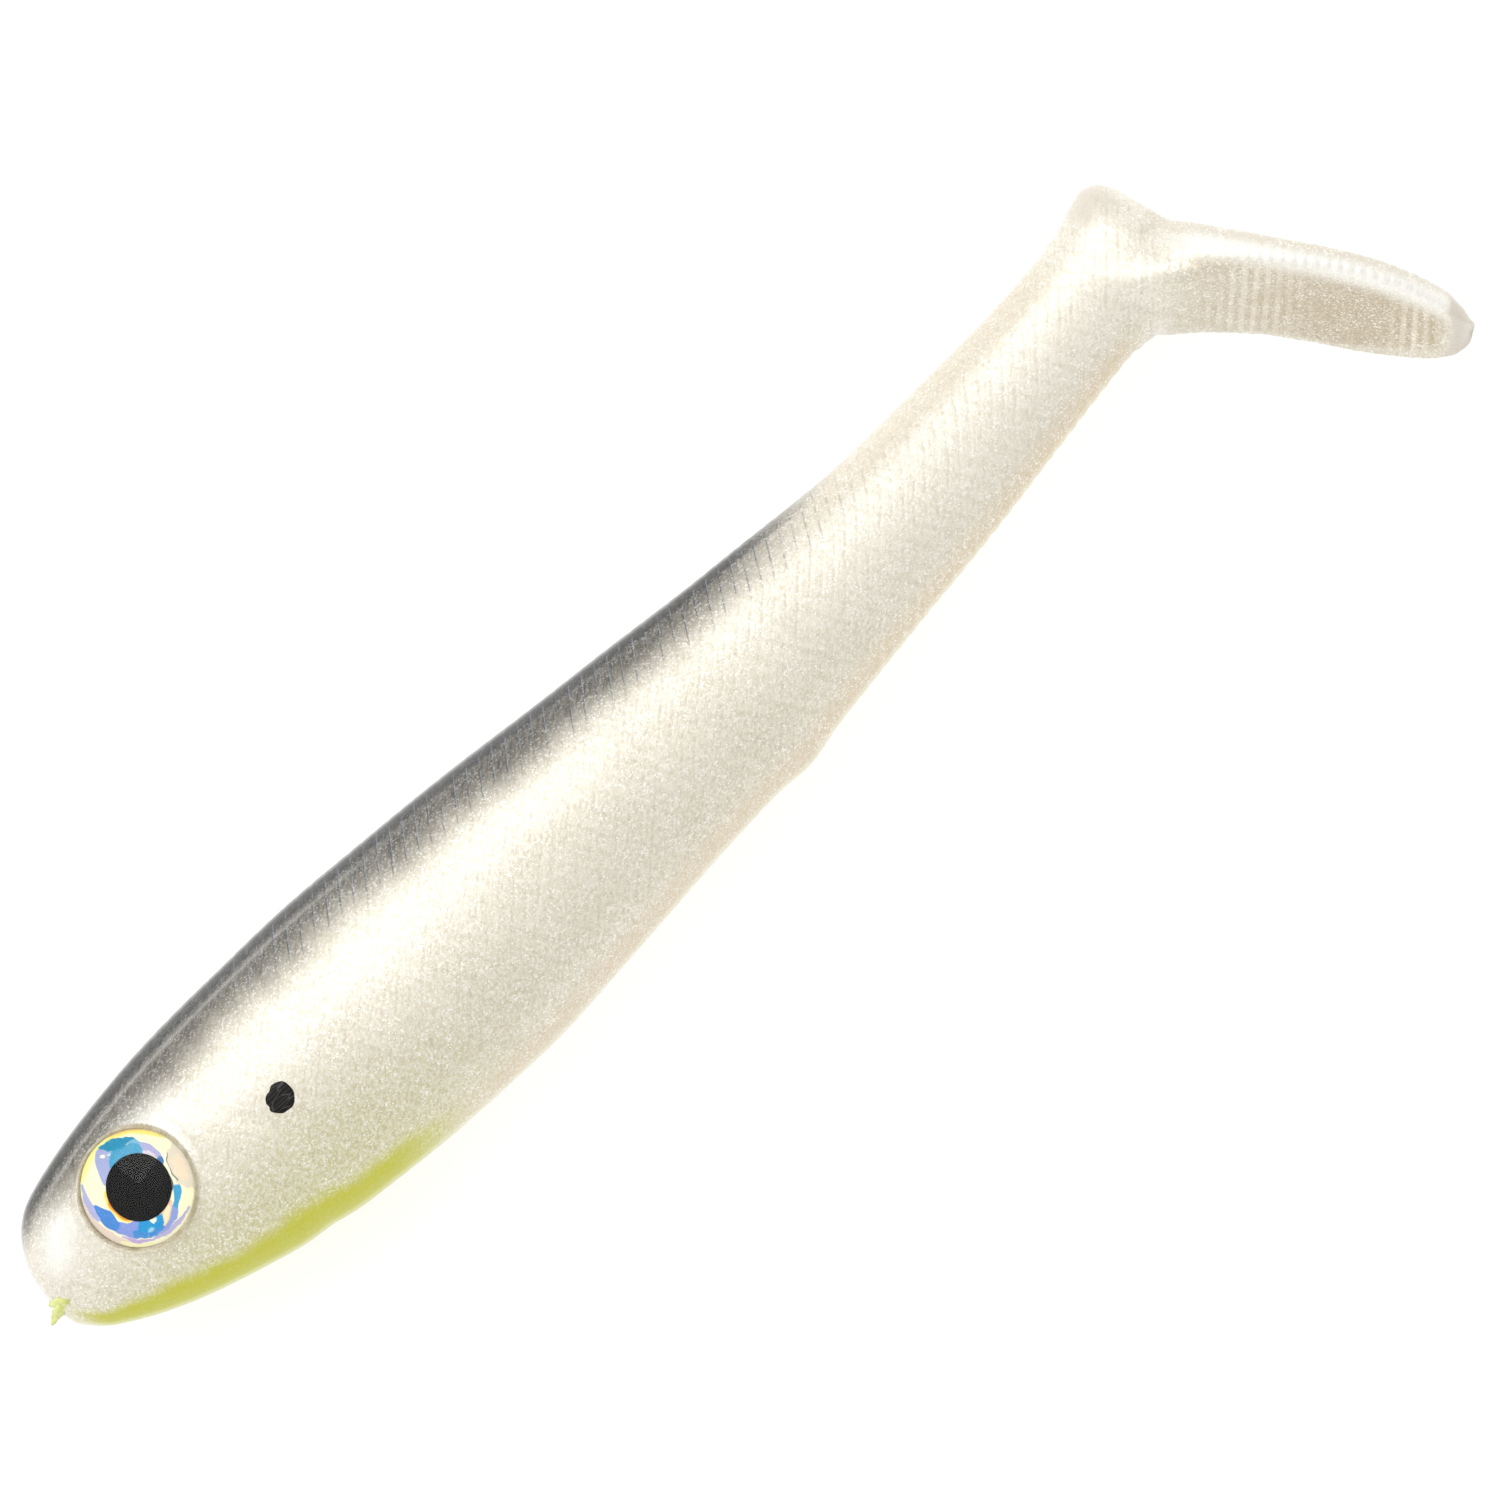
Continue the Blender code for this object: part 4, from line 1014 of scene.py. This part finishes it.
def dome_material():
    """Clear epoxy: what is under it shows, and it mirrors like glass."""
    t = Tree("clear_epoxy_dome")
    here = t.attr("eye_mm", True)
    clear = t.nodes.new("ShaderNodeBsdfTransparent")
    clear.inputs[0].default_value = (0.985, 0.985, 0.975, 1)
    fresnel = t.nodes.new("ShaderNodeFresnel")
    fresnel.inputs["IOR"].default_value = 1.24
    ripple = t.bump(t.noise(here, 0.45, 1.0, 0.4), 0.00006, 0.3)
    t.put(fresnel.inputs["Normal"], ripple)
    gloss = t.nodes.new("ShaderNodeBsdfGlossy")
    gloss.inputs["Roughness"].default_value = 0.03
    t.put(gloss.inputs["Normal"], ripple)
    mixed = t.nodes.new("ShaderNodeMixShader")
    t.links.new(fresnel.outputs[0], mixed.inputs[0])
    t.links.new(clear.outputs[0], mixed.inputs[1])
    t.links.new(gloss.outputs[0], mixed.inputs[2])
    t.links.new(mixed.outputs[0], t.output.inputs["Surface"])
    t.nodes.remove(t.shader)
    return t.material


def glue_material():
    t = Tree("dried_eye_glue")
    here = t.attr("eye_mm", True)
    cloudy = t.noise(here, 1.1, 4.0, 0.6)
    colour = t.mix(t.spread(cloudy, 0.3, 0.7), srgb(222, 210, 178), srgb(240, 233, 212))
    t.set(Base_Color=colour, Roughness=t.spread(cloudy, 0.3, 0.7, 0.14, 0.3), Coat_Weight=0.5,
          Coat_Roughness=0.06, Normal=t.bump(cloudy, 0.0001, 0.4))
    clear = t.nodes.new("ShaderNodeBsdfTransparent")
    mixed = t.nodes.new("ShaderNodeMixShader")
    t.put(mixed.inputs[0], t.spread(cloudy, 0.25, 0.75, 0.80, 0.55))
    t.links.new(t.shader.outputs[0], mixed.inputs[1])
    t.links.new(clear.outputs[0], mixed.inputs[2])
    t.links.new(mixed.outputs[0], t.output.inputs["Surface"])
    return t.material


FOIL, PUPIL, DOME, GLUE = glowing_foil_material(), pupil_material(), dome_material(), glue_material()

for side in ("left", "right"):
    axes = eye_axes(side)
    # foil: a thin disc, slightly wavy, with the colours printed on it
    many, rings = ((300, 68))
    radii = np.concatenate([[0.5, 2.0], np.linspace(2.45, EYE_RADIUS + 0.03, rings - 2)])
    flat, _ = disc_points(radii, many)
    wave = 0.012 * waves((flat[:, 0] * 1.7 + flat[:, 1], 1, 0.4), (flat[:, 1] * 2.1, 1, 1.0))
    top = np.column_stack([flat, FOIL_TOP + wave])
    low = np.column_stack([flat[-many:], np.full(many, FOIL_TOP - 0.16)])
    centre = np.array([[0, 0, FOIL_TOP], [0, 0, FOIL_TOP - 0.16]])
    points = np.concatenate([top, low, centre])
    faces = [tuple(f[::-1]) for f in ring_faces(rings + 1, many)]
    n = len(points)
    for j in range(many):
        k = (j + 1) % many
        faces.append((n - 2, k, j))
        faces.append((n - 1, rings * many + j, rings * many + k))
    foil = eye_object("eye_foil_print_" + side, points, faces, axes)
    colours = foil_colours(points[:, 0] / EYE_RADIUS, points[:, 1] / EYE_RADIUS)
    made = foil.data.attributes.new("foil", "FLOAT_COLOR", "POINT")
    made.data.foreach_set("color", np.column_stack([colours, np.ones(len(colours))]).astype(np.float32).ravel())
    foil.data.materials.append(FOIL)
    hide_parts("eye_foil_" + side)

    r = PUPIL_RADIUS
    points, faces = turned([(0, FOIL_TOP + 0.14), (r * 0.5, FOIL_TOP + 0.14), (r - 0.05, FOIL_TOP + 0.13), (r, FOIL_TOP + 0.10),
                            (r, FOIL_TOP + 0.03), (r - 0.05, FOIL_TOP + 0.02), (0, FOIL_TOP + 0.02)])
    points[:, :2] += (0.14, 0.07)
    pupil = eye_object("eye_pupil_print_" + side, points, faces, axes)
    pupil.data.materials.append(PUPIL)
    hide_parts("eye_pupil_" + side)

    tall, edge_r = 2.62 - FOIL_TOP - 0.24, EYE_RADIUS
    sphere = (edge_r**2 + tall**2) / (2 * tall)
    arc = [(edge_r * q, 2.62 - sphere + math.sqrt(sphere**2 - (edge_r * q) ** 2)) for q in (*np.linspace(0, 0.98, 26), 0.992, 0.998, 1.0)]
    shape = arc + [(edge_r + 0.03, FOIL_TOP + 0.225), (edge_r + 0.04, FOIL_TOP + 0.21), (edge_r + 0.03, FOIL_TOP + 0.18), (edge_r - 0.05, FOIL_TOP + 0.17), (0.0, FOIL_TOP + 0.17)]
    points, faces = turned(shape, 128)
    dome = eye_object("eye_clear_dome_" + side, points, faces, axes)
    dome.data.materials.append(DOME)
    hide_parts("eye_dome_" + side)

    # glue: a pad under the foil that has crept out round the rim
    turn = np.linspace(0, 2 * np.pi, 160, endpoint=False)
    rows = []
    spread = 0.12 * waves((turn * 2, 1, 0.5), (turn * 5, 0.5, 1.1), (turn * 9, 0.25, 0.2))
    right_low = 0.5 + 0.5 * np.cos(turn - math.radians(140))
    for r, h in ((4.85, 0.5), (4.85, 1.3), (4.87, 1.46), (4.92, 1.56), (5.0, 1.6), (5.1, 1.58), (5.2, 1.5), (5.26, 1.35), (5.15, 1.0)):
        out = r + (spread + 0.55 * right_low - 0.12) * max(0.0, r - 4.95) * 1.4
        rows.append(np.stack([out * np.sin(turn), out * np.cos(turn), h + 0.05 * np.sin(turn * 3 + 1) + 0 * turn], 1))
    points = np.concatenate(rows)
    faces = [tuple(f) for f in ring_faces(9, 160)]
    faces += [(8 * 160 + j, j, (j + 1) % 160, 8 * 160 + (j + 1) % 160) for j in range(160)]
    glue = eye_object("eye_glue_ring_" + side, points, faces, axes)
    glue.data.materials.append(GLUE)
    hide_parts("eye_glue_" + side)


# ---- gate stub on the lips ---------------------------------------------------------------
def stub_material():
    t = Tree("torn_chartreuse_stub")
    rest = t.attr("eye_mm", True)
    n = t.noise(rest, 2.5, 3.0, 0.6)
    colour = t.mix(t.spread(n, 0.3, 0.7), srgb(226, 231, 150), srgb(200, 206, 108))
    return t.set(Base_Color=colour, Roughness=t.spread(n, 0.3, 0.7, 0.25, 0.5), Coat_Weight=0.4, Coat_Roughness=0.15,
                 Normal=t.bump(n, 0.0001, 0.6))


def blob(name, *tubes, around=20):
    pts, faces = np.zeros((0, 3)), []
    for rows in tubes:
        count, base = len(rows), len(pts)
        pts = np.concatenate([pts, *rows, [rows[0].mean(0)], [rows[-1].mean(0)]])
        faces += [tuple(f + base) for f in ring_faces(count, around)]
        n = len(pts)
        for j in range(around):
            k = (j + 1) % around
            faces.append((n - 2, base + j, base + k))
            faces.append((n - 1, base + (count - 1) * around + k, base + (count - 1) * around + j))
    mesh = bpy.data.meshes.new(name)
    mesh.from_pydata(to_world(pts).tolist(), [], [tuple(int(i) for i in f) for f in faces])
    mesh.validate()
    bm = bmesh.new()
    bm.from_mesh(mesh)
    bmesh.ops.recalc_face_normals(bm, faces=bm.faces)
    bm.to_mesh(mesh)
    bm.free()
    mesh.shade_smooth()
    attribute(mesh, "eye_mm", pts)
    obj = bpy.data.objects.new(name, mesh)
    bpy.context.scene.collection.objects.link(obj)
    return obj


def tube_rows(path, sizes, around=20, ragged=0.2, seed=0.0):
    path = np.asarray(path, float)
    rows = []
    turn = np.linspace(0, 2 * np.pi, around, endpoint=False)
    for i, (p, size) in enumerate(zip(path, sizes)):
        d = path[min(i + 1, len(path) - 1)] - path[max(i - 1, 0)]
        d /= np.linalg.norm(d)
        side = np.cross(d, (0, 0, 1.0))
        side /= np.linalg.norm(side)
        other = np.cross(side, d)
        r = size * (1 + ragged * np.sin(3 * turn + 2.1 * i + seed) + 0.5 * ragged * np.sin(7 * turn + i * 1.3 + seed))
        rows.append(p + (r * np.cos(turn))[:, None] * side + (r * np.sin(turn) * 0.8)[:, None] * other)
    return rows


STUB = stub_material()
def from_picture(px, py, z):
    """A point of the lure under a place in the picture, in pixels of 1500."""
    w = 0.0822 * (px - 46.9)
    u = 0.0822 * (1313.1 - py)
    return np.array((u * UP[0] + w * RIGHT[0], u * UP[1] + w * RIGHT[1], z))


main = tube_rows([from_picture(*d) for d in ((74, 1300, 12.4), (69, 1298, 13.0), (63, 1299, 12.6), (57, 1302, 11.6), (53, 1303, 10.8), (50, 1306, 10.6))],
                 (0.3, 0.52, 0.55, 0.48, 0.36, 0.12), ragged=0.2)
leg = tube_rows([from_picture(*d) for d in ((68, 1300, 12.6), (63, 1305, 12.2), (59, 1311, 11.4), (57, 1316, 10.7), (54, 1321, 10.4), (52, 1325, 10.3))],
                (0.3, 0.5, 0.46, 0.36, 0.25, 0.07), ragged=0.22, seed=1.4)
tuft = tube_rows([from_picture(*d) for d in ((66, 1300, 12.8), (62, 1296, 12.6), (58, 1294, 11.8), (56, 1293, 11.1))],
                 (0.36, 0.38, 0.26, 0.1), ragged=0.22, seed=2.9)
stub = blob("mouth_gate_stub", main, leg, tuft)
stub.data.materials.append(STUB)
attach(stub, "front")
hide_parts("mouth_gate_nub")


# ---- gill spots: paint dabbed on by hand ---------------------------------------------------
def paint_material():
    t = Tree("black_gill_paint")
    here = t.attr("eye_mm", True)
    n = t.noise(here, 4.0, 3.0, 0.7)
    colour = t.mix(t.spread(n, 0.35, 0.7), srgb(4, 3, 3), srgb(18, 14, 11))
    scratch = t.cells(t.scale(here, (0.5, 3.0, 1.0)), 0.9, "DISTANCE_TO_EDGE")
    colour = t.mix(t.math("MULTIPLY", t.spread(scratch.outputs["Distance"], 0.05, 0.01), 0.5), colour, srgb(96, 92, 88))
    return t.set(Base_Color=colour, Roughness=t.spread(n, 0.3, 0.7, 0.3, 0.5), Specular_IOR_Level=0.22,
                 Normal=t.bump(n, 0.00003, 0.6))


PAINT = paint_material()


def surface_point(px, py, sign):
    """The displaced flank's height at (px, py), from the nearest points."""
    side_ok = (shaped[:, 2] - middle(shaped[:, 0])) * sign > 0
    d = (shaped[:, 0] - px) ** 2 + (shaped[:, 1] - py) ** 2
    d = np.where(side_ok, d, 1e9)
    near = np.argpartition(d, 6)[:6]
    w = 1 / (d[near] + 1e-4)
    return (shaped[near, 2] * w).sum() / w.sum()


for side, sign in (("left", 1.0), ("right", -1.0)):
    cx, cy = 26.4, 0.3
    around, rings = 64, 9
    turn = np.linspace(0, 2 * np.pi, around, endpoint=False)
    # outline in picture directions (right, up), with a nick at the lower left
    edge = 1.27 + 0.05 * np.sin(2 * turn + 0.6) + 0.045 * np.sin(3 * turn + 2.0) + 0.02 * np.sin(7 * turn)
    edge = edge - 0.16 * np.exp(-(((turn - math.radians(232)) / 0.16) ** 2)) - 0.10 * np.exp(-(((turn - math.radians(300)) / 0.2) ** 2))
    pts = []
    for i in range(rings):
        q = i / (rings - 1)
        r = edge * (0.08 + 0.92 * q)
        px = cx + (r * np.sin(turn)) * RIGHT[0] + (r * np.cos(turn) * 1.06) * UP[0]
        py = cy + (r * np.sin(turn)) * RIGHT[1] + (r * np.cos(turn) * 1.06) * UP[1]
        lift = 0.07 * (1 - smoothstep(0.8, 1.0, q)) - 0.03 * (i == rings - 1)
        pz = np.array([surface_point(a, b, sign) for a, b in zip(px, py)])
        pts.append(np.stack([px, py, pz + sign * lift], 1))
    under = pts[-1].copy()
    under[:, 2] -= sign * 0.08
    rows = pts + [under]
    flat_rows = np.concatenate(rows)
    c1 = np.concatenate([pts[0].mean(0)[None], under.mean(0)[None] - np.array([[0, 0, sign * 0.1]])])
    allp = np.concatenate([flat_rows, c1])
    n = len(allp)
    faces = [tuple(f) for f in ring_faces(rings + 1, around)]
    for j in range(around):
        k = (j + 1) % around
        faces.append((n - 2, j, k))
        faces.append((n - 1, rings * around + k, rings * around + j))
    if sign > 0:
        faces = [tuple(reversed(f)) for f in faces]
    mesh = bpy.data.meshes.new("gill_spot_" + side)
    mesh.from_pydata(to_world(allp).tolist(), [], [tuple(int(i) for i in f) for f in faces])
    mesh.shade_smooth()
    attribute(mesh, "eye_mm", allp)
    spot = bpy.data.objects.new("gill_spot_" + side, mesh)
    bpy.context.scene.collection.objects.link(spot)
    spot.data.materials.append(PAINT)
    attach(spot, "front")


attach(pieces["head_skin"], "front")
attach(pieces["forebody_skin"], "front")
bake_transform(pieces["rear_body_skin"])
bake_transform(pieces["tail_stem_skin"])
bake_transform(pieces["paddle_skin"])

# ---- stage, lights, camera -----------------------------------------------------------------------
floor_mesh = bpy.data.meshes.new("light_table")
floor_mesh.from_pydata([(-4, -4, -0.00015), (4, -4, -0.00015), (4, 4, -0.00015), (-4, 4, -0.00015)], [], [(0, 1, 2, 3)])
table = bpy.data.objects.new("light_table", floor_mesh)
bpy.context.scene.collection.objects.link(table)
t = Tree("opal_acrylic")
t.set(Base_Color=(0.93, 0.93, 0.93, 1), Roughness=0.6, Specular_IOR_Level=0.2)
see = t.nodes.new("ShaderNodeBsdfTransparent")
mixed = t.nodes.new("ShaderNodeMixShader")
mixed.inputs[0].default_value = 0.45
t.set(Emission_Color=(1.0, 0.995, 0.985, 1), Emission_Strength=0.3)
t.links.new(t.shader.outputs[0], mixed.inputs[1])
t.links.new(see.outputs[0], mixed.inputs[2])
t.links.new(mixed.outputs[0], t.output.inputs["Surface"])
floor_mesh.materials.append(t.material)

world = bpy.data.worlds.new("studio")
bpy.context.scene.world = world
world.use_nodes = True
sky = world.node_tree.nodes
background = sky["Background"]
background.inputs["Strength"].default_value = 1.0
# white all round, dimmer towards the belly's side of overhead
direction = sky.new("ShaderNodeTexCoord")
toward = sky.new("ShaderNodeVectorMath")
toward.operation = "DOT_PRODUCT"
toward.inputs[1].default_value = (0.10, -0.64, 0.762)
world.node_tree.links.new(direction.outputs["Generated"], toward.inputs[0])
dimmer = sky.new("ShaderNodeMapRange")
dimmer.interpolation_type = "SMOOTHSTEP"
for i, v in enumerate((0.0, 0.74, 0.97, 1.0, 0.74)):
    dimmer.inputs[i].default_value = v
world.node_tree.links.new(toward.outputs["Value"], dimmer.inputs[0])
world.node_tree.links.new(dimmer.outputs[0], background.inputs["Color"])


def softbox(name, direction, away, width, height, radiance, colour=(1, 1, 1)):
    light = bpy.data.lights.new(name, "AREA")
    light.shape = "RECTANGLE"
    light.size, light.size_y = width, height
    light.energy = radiance * math.pi * width * height
    light.color = colour
    obj = bpy.data.objects.new(name, light)
    bpy.context.scene.collection.objects.link(obj)
    d = Vector(direction).normalized()
    obj.location = d * away
    obj.rotation_mode = "QUATERNION"
    obj.rotation_quaternion = d.to_track_quat("Z", "Y")
    obj.visible_camera = False
    return obj


def aim(right, up):
    """A direction from the object, tilted by degrees to the picture's right and up."""
    v = math.tan(math.radians(right)) * RIGHT + math.tan(math.radians(up)) * UP
    return (v[0], v[1], 1.0)


softbox("key", aim(-30, 24), 0.9, 0.55, 0.55, 2.3, (1.0, 0.99, 0.97))
softbox("top", aim(-9, 10), 1.0, 0.5, 0.4, 0.5, (1.0, 1.0, 1.0))

camera_data = bpy.data.cameras.new("camera")
camera = bpy.data.objects.new("camera", camera_data)
bpy.context.scene.collection.objects.link(camera)
AWAY = 1.5
camera_data.sensor_width = 36.0
camera_data.lens = 36.0 * AWAY / 0.1233
camera_data.clip_start, camera_data.clip_end = 0.05, 20.0
camera.matrix_world = Matrix(
    (
        (RIGHT[0], UP[0], 0.0, 0.00297),
        (RIGHT[1], UP[1], 0.0, -0.00026),
        (0.0, 0.0, 1.0, AWAY + 0.0095),
        (0.0, 0.0, 0.0, 1.0),
    )
)
bpy.context.scene.camera = camera
bpy.context.scene.view_settings.view_transform = "Standard"
